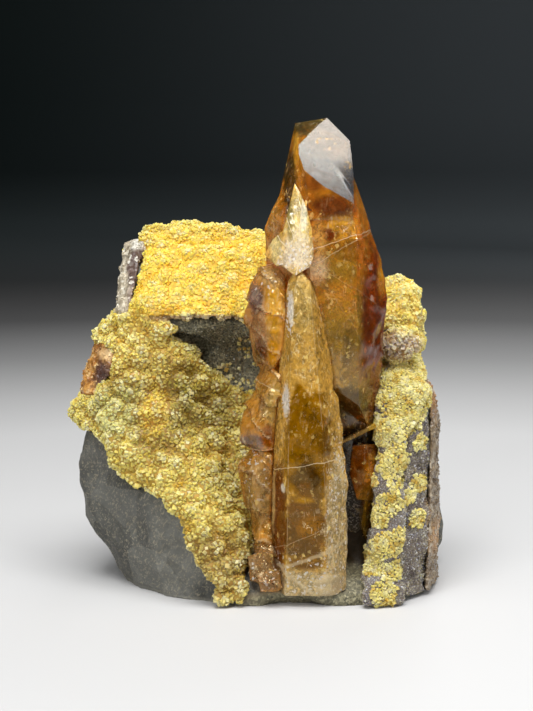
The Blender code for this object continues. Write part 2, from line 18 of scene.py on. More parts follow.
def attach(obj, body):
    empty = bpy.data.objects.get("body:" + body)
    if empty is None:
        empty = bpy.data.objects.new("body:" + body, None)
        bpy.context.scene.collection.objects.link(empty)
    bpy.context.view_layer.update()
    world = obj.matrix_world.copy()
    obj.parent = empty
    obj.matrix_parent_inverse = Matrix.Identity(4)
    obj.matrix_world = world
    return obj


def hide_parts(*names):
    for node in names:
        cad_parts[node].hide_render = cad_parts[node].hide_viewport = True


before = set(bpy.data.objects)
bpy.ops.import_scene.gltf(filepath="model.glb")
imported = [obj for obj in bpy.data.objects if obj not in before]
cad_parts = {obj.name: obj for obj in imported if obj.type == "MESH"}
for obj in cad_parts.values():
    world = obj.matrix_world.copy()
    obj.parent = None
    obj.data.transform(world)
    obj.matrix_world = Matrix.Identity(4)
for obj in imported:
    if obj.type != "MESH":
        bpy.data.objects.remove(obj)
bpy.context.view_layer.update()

MM = 0.001
FOOTPRINT_MIDDLE = (-0.21, 6.29)
NOISE_STRIDE = Vector((7.3, 3.1, 5.7))   # each seed reads its lumps from its own place in the noise
RAGGED_FROM, RAGGED_FADE = 9, 8          # mm: behind this depth the crusts' borders become ragged
RAGGED_FRONT, RAGGED_REAR = 0.12, 1.7    # mm: how far a border wanders, in front and at the rear

# ---------------------------------------------------------------- corners of the barite crystals (mm)
CRYSTAL_TOP = 105.7
CRYSTAL_GAP = 0.06           # the hairline between two barite crystals
TIP_FACE = (0.155, 0.510, 58.5, 0.846)   # its plane: shares of x and z, offset and share of depth
TIP_FROM = 0.084             # metres: above this the crystal's faces are mirror flat


def tip_face(x, z):
    """A point of the large tip face, given its x and z."""
    along, up, offset, depth = TIP_FACE
    return (x, (along * x + up * z - offset) / depth, z)


TIP = [tip_face(13.3, CRYSTAL_TOP), tip_face(18.2, 100.8), tip_face(18.9, 93.8), tip_face(18.9, 90),
       tip_face(18.8, 87.6), tip_face(12.4, 91.2), tip_face(8.2, 94.6), tip_face(7, 98),
       tip_face(7, 100), tip_face(11, 103.9), (6.3, -1, 104.5), (9, 2.4, 103.2),
       (17.5, 1.5, 99), (18.9, -2, 93), (4.9, -3.5, 95.2), (3.9, -4, 90.4), (5.2, 2.5, 97),
       (1.8, -6, 84), (9.4, -13.6, 84), (18.7, -12.7, 84), (19.3, -4, 84),
       (17, 5, 84), (7, 7, 84), (1.8, 3, 84)]
SHAFT = {
    93.5: [(5.2, -4), (8.8, -9.5), (17, -8.5), (18.9, -5), (17.5, 3), (9, 5), (5.5, 2)],
    86: [(1.4, -5), (8.8, -13.2), (18.4, -12.4), (21.6, -5), (19.5, 5), (9, 7.5), (2, 4)],
    80: [(-0.2, -5.5), (9.2, -13.8), (19.6, -13.2), (23.5, -5), (21, 6), (9.5, 9), (1, 5)],
    73: [(0, -6), (9.4, -14), (19.6, -13.8), (25.7, -4.5), (23, 7), (10, 10), (0.8, 5.5)],
    66: [(0.2, -6), (10, -14.3), (19.6, -14.2), (26.7, -4.5), (23.8, 7.5), (10, 10.5), (1, 6)],
    56: [(0.5, -6), (11, -14.5), (20, -14.3), (25.8, -4.5), (23, 7.5), (10, 10), (1.5, 5.5)],
    41: [(1, -5), (11, -13), (20.2, -13.5), (24.2, -4.5), (22, 7), (10, 9.5), (2, 5)],
    7: [(4, -3), (10, -8), (19, -8), (22, -3.5), (20.5, 5), (10, 7), (4, 4)],
}
BROKEN_FRONT = [(11.4, -20, 54.2), (27, -20, 38.5), (27, -8.5, 35), (11.4, -8.5, 45.5), (27, -5.5, 5),
                (7, -5.5, 5), (7, -20, 5), (27, -20, 5)]
SHOULDER = [(3.9, -4, 90.2), (1.2, -7, 85.9), (-0.5, -7, 81.7), (0.1, -7.5, 77.6), (4.5, -10, 87.5),
            (5.6, -12.2, 83), (4.6, -12, 76.4), (5, -3, 75.4), (6, -2, 89)]
FRONT_BLADE = [(6.1, -11.2, 91.8), (7.2, -12.6, 90), (8.6, -13.9, 86.9), (9.7, -14.9, 82.4),
               (10.2, -15.3, 76.4), (9.4, -15.9, 74.2), (6.2, -16.2, 72.2), (4.9, -12.8, 86),
               (3.7, -13, 81.6), (1.9, -12.8, 75.2), (6, -8, 88), (6, -8, 72)]
BLADE_FOOT = [(3.9, -12.4, 82), (1.4, -10.2, 79.6), (-0.4, -9, 76.2), (2.2, -13.6, 74),
              (4.6, -14.4, 75), (3.6, -8, 80), (3.6, -8, 74.6)]
GOLD_FILM = [(16.2, -14.2, 35.3), (16.2, -14, 34.8), (24, -10.2, 39), (24.3, -9.8, 37.9),
             (17, -8, 35.2), (24, -6, 38.4)]
COLUMN = {
    73.4: [(6.2, -14.6), (7.2, -15.2), (7, -13)],
    70.8: [(4.7, -15), (6.4, -16.6), (9.4, -16.6), (9.9, -13), (4.8, -12)],
    66: [(3.6, -14.5), (5.6, -17.8), (9.6, -19), (11.4, -14), (10, -9), (4, -9)],
    57: [(3.2, -14.5), (5.4, -19.4), (10, -20.4), (12.7, -15), (11, -8), (4, -8)],
    50.5: [(2.8, -15), (5, -20.6), (11, -21.6), (14.6, -16.5), (13.5, -8), (4, -8)],
    40: [(2.2, -16), (4.8, -21.8), (12, -22.8), (16.4, -17.2), (15, -8), (3, -8)],
    27: [(1.2, -16.5), (4.6, -22.6), (12.6, -23.6), (17.6, -17.6), (17, -8), (2, -8)],
    13: [(0.9, -16.5), (4.4, -22.8), (13, -23.9), (17.5, -18), (17, -8), (2, -8)],
    2.6: [(2, -16), (4, -20.6), (13, -21.4), (17.4, -18), (16.5, -8), (2, -8)],
}
FOOT_FACET = ((8.2, -24.2, 7.7), (14.6, -24, 11), (17.6, -19.5, 2.1))
UPPER_LOBE = [(-1.6, -8, 73), (-3.8, -9, 69.4), (-4.7, -9, 65), (-4.4, -9, 60), (-2.5, -9, 53.2),
              (-1.2, -9, 49.6), (1, -13.6, 71.6), (-0.6, -14.2, 62), (1.4, -14.8, 52), (4, -16.4, 67),
              (4, -17, 56), (1, -3, 72), (-1.6, -3, 62), (1, -3, 51), (4, -5, 74.5), (4, -5, 48.5)]
MIDDLE_LOBE = [(-1.8, -10, 48), (-4.5, -11, 43.4), (-5.8, -12, 39), (-5.5, -12, 35.4), (-3.2, -12, 33.8),
               (-0.8, -15, 45.6), (-2.2, -16.4, 39), (-1, -16, 34.2), (2.4, -17, 47), (0, -5, 47),
               (-2, -5, 36), (3, -5, 33.8), (3.5, -5, 48), (1.4, -16.4, 34)]
LOWER_LOBE = [(-3.2, -11, 34.2), (-6.4, -12, 29.4), (-5.7, -12, 24.8), (-3.4, -13, 19.8), (-2.2, -14, 14.8),
              (-2, -16.6, 32), (-2.9, -17.4, 26), (-1.2, -17.2, 18), (1.2, -17.2, 33), (1, -17, 15.6),
              (-1, -5, 32), (-1, -5, 20), (3, -5, 33), (3, -5, 15)]
UPPER_AMBER_LOBE = [(19, -12, 34), (22, -12.6, 34.6), (25, -7, 33.6), (25.8, -5, 28.6), (26.1, -5, 23),
                    (24, -9.4, 21.4), (20, -13.2, 22.4), (18.4, -12, 28), (24.6, 2, 32), (25, 2, 24),
                    (19, 0, 33), (19, 0, 22), (22.6, -13.4, 28)]
LOWER_AMBER_LOBE = [(22, -11.6, 22.8), (24.7, -7, 22.8), (25.1, -5, 17), (23.7, -5, 12.8), (22.2, -9, 12.2),
                    (21, -11, 16.4), (24.6, 2, 22), (23.6, 2, 13), (20.5, 0, 22), (20.5, 0, 12.4)]
FOOT_CRYSTALS = (
    [(-4.4, -18, 10), (-1.4, -20.4, 12.6), (1.6, -19, 12), (0.8, -21.6, 8.6), (-3.6, -20.6, 5.6),
     (1.8, -20, 4.6), (-4, -14, 9), (2.5, -13, 12), (2.5, -13, 4.6), (-3.6, -14, 5)],
    [(-2.4, -21, 7), (1.2, -22.6, 8.4), (2.8, -21, 8), (3, -21.6, 3.6), (-1.4, -21.2, 3.6), (0, -14, 8),
     (4.4, -14, 8), (4.4, -14, 3.6), (-1, -14, 3.6)],
)


# ---------------------------------------------------------------- tools
def survey(point):
    """A place in survey millimetres as metres of the part's frame."""
    x, y, z = point
    return Vector((x - FOOTPRINT_MIDDLE[0], y - FOOTPRINT_MIDDLE[1], z)) * MM


def corners(sections):
    """Every corner of a dictionary of horizontal sections."""
    return [(x, y, z) for z, outline in sections.items() for x, y in outline]


def link(name, data):
    """A new object in the scene, with its mesh, light or camera."""
    obj = bpy.data.objects.new(name, data)
    bpy.context.scene.collection.objects.link(obj)
    return obj


def new_object(name, bm):
    """A linked object that takes over a finished bmesh."""
    bmesh.ops.recalc_face_normals(bm, faces=bm.faces)
    mesh = bpy.data.meshes.new(name)
    bm.to_mesh(mesh)
    bm.free()
    return link(name, mesh)


@contextlib.contextmanager
def edited(obj):
    """An object's mesh as a bmesh, which is put back at the end."""
    bm = bmesh.new()
    bm.from_mesh(obj.data)
    yield bm
    bm.to_mesh(obj.data)
    bm.free()


def hull(name, points):
    """The convex solid around a few corner points."""
    bm = bmesh.new()
    for point in points:
        bm.verts.new(survey(point))
    found = bmesh.ops.convex_hull(bm, input=bm.verts)
    inner = {e for e in found["geom_interior"] + found["geom_unused"] if isinstance(e, bmesh.types.BMVert)}
    bmesh.ops.delete(bm, geom=list(inner), context="VERTS")
    bmesh.ops.dissolve_limit(bm, angle_limit=math.radians(1), verts=bm.verts, edges=bm.edges)
    return new_object(name, bm)


def bake(obj):
    """Put an object's modifiers into its mesh."""
    graph = bpy.context.evaluated_depsgraph_get()
    graph.update()
    mesh = bpy.data.meshes.new_from_object(obj.evaluated_get(graph))
    obj.modifiers.clear()
    obj.data = mesh


def combine(obj, others, operation):
    """Union, difference or intersection with each other object in turn, which is used up."""
    for other in others:
        modifier = obj.modifiers.new(operation, "BOOLEAN")
        modifier.operation = operation
        modifier.object = other
        modifier.solver = "EXACT"
        bake(obj)
        bpy.data.objects.remove(other, do_unlink=True)
    return obj


def copy_of(obj, name):
    return link(name, obj.data.copy())


def node_copy(node, name):
    """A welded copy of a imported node's mesh, free to reshape."""
    bm = bmesh.new()
    bm.from_mesh(bpy.data.objects[node].data)
    bmesh.ops.remove_doubles(bm, verts=bm.verts, dist=0.001 * MM)
    return new_object(name, bm)


def fuse_to_voxels(obj, voxel):
    modifier = obj.modifiers.new("fuse", "REMESH")
    modifier.mode = "VOXEL"
    modifier.voxel_size = voxel * MM
    bake(obj)


def slice_off(obj, place, outward):
    """Cut away what lies beyond a plane, and close the cut."""
    with edited(obj) as bm:
        geometry = bm.verts[:] + bm.edges[:] + bm.faces[:]
        cut = bmesh.ops.bisect_plane(bm, geom=geometry, plane_co=place, plane_no=outward, clear_outer=True)
        rim = [e for e in cut["geom_cut"] if isinstance(e, bmesh.types.BMEdge)]
        bmesh.ops.contextual_create(bm, geom=rim)
        bmesh.ops.recalc_face_normals(bm, faces=bm.faces)


def push(obj, rule):
    """Move every vertex by what a rule of the vertex says."""
    with edited(obj) as bm:
        bm.normal_update()
        moves = [rule(vert) for vert in bm.verts]
        for vert, move in zip(bm.verts, moves):
            vert.co += move
    return obj


def reshape(obj, rule):
    """Move every vertex by what a rule of its place and normal says."""
    return push(obj, lambda vert: rule(vert.co, vert.normal))


def unsurvey(place):
    """Metres of the part's frame back to survey millimetres."""
    return (place.x / MM + FOOTPRINT_MIDDLE[0], place.y / MM + FOOTPRINT_MIDDLE[1], place.z / MM)


def clamped(value):
    """A value kept between 0 and 1."""
    return max(0.0, min(1.0, value))


def mounds(place, width, seed):
    """Round mounds with creases between them, 0 in the creases and 1 on top."""
    away = noise.voronoi(place / (width * MM) + NOISE_STRIDE * seed)[0][0]
    return max(0.0, 1.0 - (away / 0.75) ** 2)


def lumps(place, width, seed, octaves=3):
    """Smooth lumps of a width in millimetres, about -1 to 1."""
    return noise.fractal(place / (width * MM) + NOISE_STRIDE * seed, 1.0, 2.0, octaves)


def ragged(place, seed):
    """A wander that makes straight borders ragged, little in front and more at the rear."""
    rear = clamped((unsurvey(place)[1] - RAGGED_FROM) / RAGGED_FADE)
    reach = RAGGED_FRONT + (RAGGED_REAR - RAGGED_FRONT) * rear
    return Vector([reach * lumps(place, 5.0, seed + axis) for axis in (101, 102, 103)]) * MM


def grown_copy(obj, gap):
    """A copy whose surface lies a gap further out, for cutting a neighbour to fit."""
    room = copy_of(obj, obj.name + "_room")
    return push(room, lambda vert: vert.normal * gap * MM * vert.calc_shell_factor())


def prism(name, outline, front, back):
    """A front-plane outline (x, z) carried from one depth to another."""
    bm = bmesh.new()
    face = bm.faces.new([bm.verts.new(survey((x, front, z))) for x, z in outline])
    pushed = bmesh.ops.extrude_face_region(bm, geom=[face])
    moved = [e for e in pushed["geom"] if isinstance(e, bmesh.types.BMVert)]
    bmesh.ops.translate(bm, verts=moved, vec=Vector((0, back - front, 0)) * MM)
    return new_object(name, bm)


def ball(name, middle, reach, detail=4):
    """A round lump: its middle, and its radius or its three half sizes."""
    bm = bmesh.new()
    sizes = reach if isinstance(reach, tuple) else (reach, reach, reach)
    bmesh.ops.create_icosphere(bm, subdivisions=detail, radius=1.0)
    bmesh.ops.scale(bm, verts=bm.verts, vec=Vector(sizes) * MM)
    bmesh.ops.translate(bm, verts=bm.verts, vec=survey(middle))
    return new_object(name, bm)


def surface_tree(obj):
    bm = bmesh.new()
    bm.from_mesh(obj.data)
    tree = BVHTree.FromBMesh(bm)
    bm.free()
    return tree


def shade(obj, angle):
    """Smooth shading, with edges sharper than an angle in degrees left crisp."""
    obj.data.polygons.foreach_set("use_smooth", [True] * len(obj.data.polygons))
    obj.data.set_sharp_from_angle(angle=math.radians(angle))


# ---------------------------------------------------------------- finishes
class Nodes:
    """The nodes of one shader tree, which work from a place on the object."""

    def __init__(self, tree, place=None):
        self.tree = tree
        self.place = place or self.node("ShaderNodeTexCoord").outputs["Object"]

    def node(self, kind, **settings):
        made = self.tree.nodes.new(kind)
        for name, value in settings.items():
            setattr(made, name, value)
        return made

    def feed(self, socket, value):
        """Wire a socket to another node's output, or set its plain value."""
        if isinstance(value, bpy.types.NodeSocket):
            self.tree.links.new(value, socket)
        elif isinstance(value, tuple) and len(value) == 3 and socket.type == "RGBA":
            socket.default_value = (*value, 1.0)
        else:
            socket.default_value = value

    def sum(self, a, b, operation="ADD"):
        made = self.node("ShaderNodeMath", operation=operation)
        self.feed(made.inputs[0], a)
        self.feed(made.inputs[1], b)
        return made.outputs[0]

    def times(self, a, b):
        return self.sum(a, b, "MULTIPLY")

    def centred(self, value):
        """A value from 0 to 1 moved to lie round zero."""
        return self.sum(value, 0.5, "SUBTRACT")

    def vector(self, operation, a, b=None):
        made = self.node("ShaderNodeVectorMath", operation=operation)
        self.feed(made.inputs[0], a)
        if b is not None:
            self.feed(made.inputs[1], b)
        return made.outputs["Value" if operation in ("LENGTH", "DOT_PRODUCT") else "Vector"]

    def texture(self, kind, scale, place=None, settings=None, **values):
        made = self.node(kind, **(settings or {}))
        self.feed(made.inputs["Vector"], place or self.place)
        self.feed(made.inputs["Scale"], scale)
        for name, value in values.items():
            self.feed(made.inputs[name], value)
        return made.outputs

    def grain(self, width, detail, roughness, warp=0.0, place=None):
        """Noise with features of a width in millimetres."""
        return self.texture("ShaderNodeTexNoise", 1.0 / (width * MM), place, Detail=detail,
                            Roughness=roughness, Distortion=warp)["Fac"]

    def turned(self, angles, scale):
        """The place, turned by angles in degrees and then stretched."""
        made = self.node("ShaderNodeMapping", vector_type="TEXTURE")
        self.feed(made.inputs["Vector"], self.place)
        made.inputs["Rotation"].default_value = [math.radians(angle) for angle in angles]
        made.inputs["Scale"].default_value = scale
        return made.outputs[0]

    def stretched(self, scale):
        return self.vector("MULTIPLY", self.place, scale)

    def along(self, direction, start=None):
        """How far the place lies along a direction, in metres, from the origin or from a survey place."""
        place = self.place if start is None else self.vector("SUBTRACT", self.place, survey(start))
        return self.vector("DOT_PRODUCT", place, direction)

    def height(self):
        return self.along((0.0, 0.0, 1.0))

    def attribute(self, name):
        """A value that is stored on the mesh."""
        return self.node("ShaderNodeAttribute", attribute_name=name).outputs["Fac"]

    def cells(self, width):
        """A random colour for each cell of a width in millimetres."""
        return self.texture("ShaderNodeTexVoronoi", 1.0 / (width * MM))["Color"]

    def ramp(self, value, *stops):
        """Colours or greys along a value: each stop is (position, colour or grey)."""
        made = self.node("ShaderNodeValToRGB")
        band = made.color_ramp
        while len(band.elements) < len(stops):
            band.elements.new(0.5)
        for element, (position, colour) in zip(band.elements, stops):
            element.position = position
            tone = colour if isinstance(colour, tuple) else (colour, colour, colour)
            element.color = (*tone, 1.0)
        self.feed(made.inputs["Fac"], value)
        return made.outputs["Color"]

    def between(self, value, low, high, start=0.0, end=1.0):
        """A smooth step from start to end as the value goes from low to high."""
        made = self.node("ShaderNodeMapRange", interpolation_type="SMOOTHSTEP")
        for socket, number in (("Value", value), ("From Min", low), ("From Max", high), ("To Min", start),
                               ("To Max", end)):
            self.feed(made.inputs[socket], number)
        return made.outputs["Result"]

    def blend(self, mask, a, b, how="MIX"):
        """Colour a, turning into colour b where the mask is 1."""
        made = self.node("ShaderNodeMix", data_type="RGBA", blend_type=how)
        self.feed(made.inputs[0], mask)
        self.feed(made.inputs[6], a)
        self.feed(made.inputs[7], b)
        return made.outputs[2]

    def layered(self, colour, *layers):
        """A colour with others laid over it in turn: each layer is its mask and its colour."""
        for mask, tint in layers:
            colour = self.blend(mask, colour, tint)
        return colour

    def parts(self, colour):
        made = self.node("ShaderNodeSeparateColor")
        self.feed(made.inputs[0], colour)
        return made.outputs

    def bump(self, height, distance, strength, under=None):
        """A normal that follows a height map, with a distance in millimetres."""
        made = self.node("ShaderNodeBump")
        self.feed(made.inputs["Strength"], strength)
        made.inputs["Distance"].default_value = distance * MM
        self.feed(made.inputs["Height"], height)
        if under is not None:
            self.feed(made.inputs["Normal"], under)
        return made.outputs["Normal"]

    def shared(self, name, build, values):
        """A shader group that several finishes share, fed with its own values."""
        if name not in bpy.data.node_groups:
            tree = bpy.data.node_groups.new(name, "ShaderNodeTree")
            for label, value in {"Place": self.place, **values}.items():
                kind = "Float" if isinstance(value, float) else "Vector"
                tree.interface.new_socket(label, in_out="INPUT", socket_type="NodeSocket" + kind)
            given = tree.nodes.new("NodeGroupInput").outputs
            made = build(Nodes(tree, given["Place"]), given)
            for label in made:
                tree.interface.new_socket(label, in_out="OUTPUT", socket_type="NodeSocketFloat")
            results = tree.nodes.new("NodeGroupOutput").inputs
            for label, socket in made.items():
                tree.links.new(socket, results[label])
        group = self.node("ShaderNodeGroup", node_tree=bpy.data.node_groups[name])
        for label, value in {"Place": self.place, **values}.items():
            self.feed(group.inputs[label], value)
        return group.outputs

    def patch(self, middle, reach, edge=0.3, ragged=0.4, ragged_width=3.0):
        """A soft-edged patch round a survey place: 1 inside, 0 outside."""
        return self.shared("Ragged Patch", ragged_patch, {
            "Middle": survey(middle), "Reach": Vector(reach) * MM, "Edge": float(edge),
            "Ragged": float(ragged), "Rag Scale": 1.0 / (ragged_width * MM)})["Mask"]

    def shards(self, width, warp, stretch=(1, 1, 1)):
        """Random broken facets: each one's tone, the lines between them, and the way each one leans."""
        return self.shared("Broken Shards", broken_shards, {
            "Scale": 1.0 / (width * MM), "Stretch": Vector(stretch), "Warp": warp * MM})


def ragged_patch(group, given):
    offset = group.vector("SUBTRACT", group.place, given["Middle"])
    away = group.vector("LENGTH", group.vector("DIVIDE", offset, given["Reach"]))
    rag = group.texture("ShaderNodeTexNoise", given["Rag Scale"], Detail=5.0)["Fac"]
    away = group.sum(away, group.times(group.centred(rag), given["Ragged"]))
    near, far = group.sum(1.0, given["Edge"], "SUBTRACT"), group.sum(1.0, given["Edge"])
    return {"Mask": group.between(away, near, far, 1.0, 0.0)}


def broken_shards(group, given):
    wobble = group.texture("ShaderNodeTexNoise", given["Scale"], Detail=2.0)["Color"]
    wobble = group.vector("MULTIPLY", group.vector("SUBTRACT", wobble, (0.5, 0.5, 0.5)), given["Warp"])
    place = group.vector("MULTIPLY", group.vector("ADD", group.place, wobble), given["Stretch"])
    shard = group.texture("ShaderNodeTexVoronoi", given["Scale"], place)
    edge = group.texture("ShaderNodeTexVoronoi", given["Scale"], place, {"feature": "DISTANCE_TO_EDGE"})
    lean = group.vector("SUBTRACT", shard["Color"], (0.5, 0.5, 0.5))
    across = group.vector("SUBTRACT", place, shard["Position"])
    return {"Tone": group.parts(shard["Color"])[0],
            "Line": group.between(edge["Distance"], 0.0, 0.10, 1.0, 0.0),
            "Lean": group.times(group.vector("DOT_PRODUCT", lean, across), 1.0 / MM)}


class Finish(Nodes):
    """One Principled material, and the shader nodes that colour it."""

    def __init__(self, name, values):
        self.material = bpy.data.materials.new(name)
        self.material.use_nodes = True
        super().__init__(self.material.node_tree)
        self.shader = self.tree.nodes["Principled BSDF"]
        for socket, value in values.items():
            self.shader.inputs[socket].default_value = value

    def set(self, socket, value):
        self.feed(self.shader.inputs[socket], value)

    def absorb(self, colour, density):
        """Light dims as it goes through: a plain absorption volume."""
        made = self.node("ShaderNodeVolumeAbsorption")
        made.inputs["Color"].default_value = (*colour, 1.0)
        made.inputs["Density"].default_value = density
        self.tree.links.new(made.outputs[0], self.tree.nodes["Material Output"].inputs["Volume"])


def wear(obj, finish):
    """Finish a piece: its material, and the body it hangs from."""
    obj.data.materials.clear()
    obj.data.materials.append(finish.material)
    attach(obj, "root")


# ---------------------------------------------------------------- mudstone
ROCK_GRAIN = 0.7                         # mm
CHIP_DEPTH, CHIP_WIDTH = 1.3, 8.0        # mm: round chips, with ridges between them
ROCK_SWELL = 0.75                        # mm: makes up for what the chips take away
LEFT_SWELL = 0.8                         # mm: how much further the left edge stands out, at most
LEFT_HEIGHT, LEFT_REACH = 22, 14         # mm: its middle height, and how far up and down it reaches
LEFT_FROM = -36                          # mm: it lies to the left of this
# Broken flats round the back and sides: a place on each flat and the way it faces.
ROCK_FLATS = (
    ((0, 34.6, 20), (0.05, 1, -0.12)),
    ((20, 34, 45), (0.3, 1, 0.22)),
    ((-18, 34, 50), (-0.35, 1, 0.18)),
    ((-37, 25, 22), (-0.85, 0.55, -0.1)),
    ((42.6, 18, 16), (0.93, 0.35, -0.12)),
    ((-33.6, 28, 66), (-0.75, 0.6, 0.25)),
    ((0, 31.5, 70), (0, 1, 0.55)),
    ((-37.6, -0.8, 9), (-0.72, -0.62, -0.3)),
    ((-27, -10.6, 9), (-0.42, -0.9, -0.12)),
)
# Shell-shaped scoops where flakes broke away: middle of the scoop's floor, the way out, radius, depth.
ROCK_SCOOPS = (
    ((-31, -5.5, 16), (-0.55, -0.8, 0.1), 12, 1.1),
    ((-38, 0.5, 24), (-0.85, -0.5, 0.1), 11, 1),
    ((-27, -9.6, 6), (-0.4, -0.9, -0.2), 13, 1),
    ((-20.5, -13.5, 9), (-0.45, -0.85, 0), 16, 0.8),
    ((-29.5, -7.6, 15), (-0.35, -0.95, -0.15), 7, 0.9),
    ((-22.5, -12.4, 15.5), (-0.3, -0.95, 0.25), 6, 0.6),
    ((-41.2, 2.6, 26), (-0.9, -0.4, 0.2), 4, 0.8),
    ((-41.2, 2.6, 18), (-0.95, -0.3, -0.1), 3.4, 0.8),
    ((-38.2, 0.6, 11), (-0.9, -0.4, 0), 3, 0.8),
    ((-34.6, -1.4, 5.4), (-0.85, -0.5, -0.2), 4, 0.8),
    ((-24, -10.4, 4), (-0.4, -0.9, -0.3), 6, 0.8),
    ((-41.5, 12, 14), (-1, 0, -0.2), 20, 1.4),
    ((-12, 34.5, 26), (-0.2, 1, 0), 22, 1.8),
    ((16, 34, 18), (0.2, 1, -0.1), 18, 1.5),
    ((24, 31.5, 48), (0.4, 0.9, 0.3), 16, 1.4),
    ((-22, 30, 62), (-0.4, 0.9, 0.3), 16, 1.4),
    ((40, 20, 34), (1, 0.3, 0.1), 15, 1.2),
)
# Pale scratches: the way each set runs (angles in degrees) and its strength.
ROCK_SCRATCHES = (((0, 35, 10), 0.65), ((20, -50, 40), 0.6), ((40, 80, -30), 0.6))
# Pale dust stains at the crystals' foot, and painted shade darkening the gap beside them, down to its foot.
ROCK_DUST_AND_SHADE = (
    ((7, -16, 1), (11, 14, 2.6), (0.4, 0.31, 0.18)),
    ((19, -4, 26), (6, 15, 20), (0.01, 0.006, 0.003)),
    ((20, -10, 8), (8, 14, 12), (0.03, 0.019, 0.008)),
    ((17, -12, 1.5), (5, 12, 3), (0.1, 0.09, 0.06)),
)
RECESS_WALL = ((-10, 4, 51), (17, 14, 11))
# Where the stone glitters with tiny crystals: under the ledge, in the gap's foot and under the crystals.
GLITTER = (RECESS_WALL, ((18.5, -14, 2.5), (4.5, 10, 5.5)), ((8, -16, 0.8), (14, 12, 2.4)))


def mudstone_finish():
    """Dark grey, dull and fine-grained, scratched and bruised, with sugary glitter in the hollow; painted
    shade in the gap and painted light at the foot.
    """
    finish = Finish("mudstone", {"IOR": 1.5, "Specular IOR Level": 0.35})
    cloud = finish.grain(12, 6, 0.6, 0.5)
    speck = finish.grain(1.0, 5, 0.75)
    chips = finish.shards(3.4, 2.8)
    plates = finish.shards(11.0, 4.0)
    tone = finish.ramp(cloud, (0.32, (0.060, 0.060, 0.055)), (0.50, (0.105, 0.105, 0.096)),
                       (0.68, (0.165, 0.163, 0.148)))
    facet = finish.patch((-20, -14, 14), (7.5, 8, 11), 0.2, 0.25, 6)
    dark = finish.patch((-33, -6, 9), (11, 12, 9), 0.3, 0.4, 6)
    tone = finish.layered(
        tone, (finish.times(facet, 0.55), (0.20, 0.20, 0.18)),
        (finish.times(dark, 0.45), (0.055, 0.055, 0.05)),
        (finish.between(speck, 0.30, 0.50, 0.55, 0.0), (0.035, 0.035, 0.032)),
        (finish.between(speck, 0.54, 0.70, 0.0, 0.6), (0.27, 0.26, 0.23)),
        (finish.times(chips["Tone"], 0.35), (0.05, 0.05, 0.045)),
        (finish.between(plates["Tone"], 0.2, 0.9, 0.0, 0.5), (0.18, 0.18, 0.165)))
    for angles, strength in ROCK_SCRATCHES:
        scratch = finish.grain(0.45, 2, 0.5, 0.5, finish.turned(angles, (1, 1, 18)))
        tone = finish.blend(finish.between(scratch, 0.60, 0.68, 0.0, strength), tone, (0.33, 0.29, 0.21))
    # the dust, and the painted shade in the gap
    tone = finish.layered(tone, *((finish.patch(middle, reach, 0.3, 0.6, 2.5), tint)
                                  for middle, reach, tint in ROCK_DUST_AND_SHADE))
    # Painted light: the stone's lowest millimetre is paler, as if lit from the floor.
    foot = finish.between(finish.height(), 0.3 * MM, 1.1 * MM, 0.5, 0.0)
    tone = finish.blend(foot, tone, (0.32, 0.31, 0.27))
    glitter = 0.0
    for place, reach in GLITTER:
        glitter = finish.sum(glitter, finish.patch(place, reach, 0.2, 0.3, 4), "MAXIMUM")
    spark = finish.cells(0.45)
    wall = finish.ramp(spark, (0.0, (0.075, 0.073, 0.05)), (0.6, (0.20, 0.18, 0.11)),
                       (1.0, (0.46, 0.42, 0.27)))
    tone = finish.blend(glitter, tone, wall)
    finish.set("Base Color", finish.vector("MULTIPLY", tone, (0.94, 0.94, 0.905)))
    finish.set("Roughness", finish.between(speck, 0.3, 0.7, 0.42, 0.7))
    first = finish.bump(chips["Lean"], 1.0, 0.40, finish.bump(plates["Lean"], 1.0, 0.7))
    second = finish.bump(finish.grain(2.2, 6, 0.65), 0.45, 0.6, first)
    finish.set("Normal", finish.bump(speck, 0.14, 0.7, second))
    return finish


def make_rock():
    rock = node_copy("mudstone_matrix", "mudstone")
    for place, facing in ROCK_FLATS:
        slice_off(rock, survey(place), Vector(facing).normalized())
    for place, out, radius, depth in ROCK_SCOOPS:
        middle = Vector(place) + Vector(out).normalized() * (radius - depth)
        combine(rock, [ball("scoop", middle, radius)], "DIFFERENCE")
    fuse_to_voxels(rock, ROCK_GRAIN)

    def broken(place, normal):
        shell = ROCK_SWELL - CHIP_DEPTH * mounds(place, CHIP_WIDTH, 11) + 0.25 * lumps(place, 7.0, 11)
        left = LEFT_SWELL * clamped(1.0 - abs(place.z / MM - LEFT_HEIGHT) / LEFT_REACH)
        left *= clamped(LEFT_FROM - place.x / MM)
        return normal * (shell + left + 0.10 * lumps(place, 1.6, 12)) * MM

    reshape(rock, broken)

    def seat(place, normal):
        low = place.z < 0.5 * MM and normal.z < -0.5
        return Vector((0, 0, -place.z)) if low or place.z < 0 else Vector()

    reshape(rock, seat)
    shade(rock, 28)
    wear(rock, mudstone_finish())
    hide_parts("mudstone_matrix")
    return rock


# ---------------------------------------------------------------- druse
TRIES = 3.2                              # for each place that a surface has room for


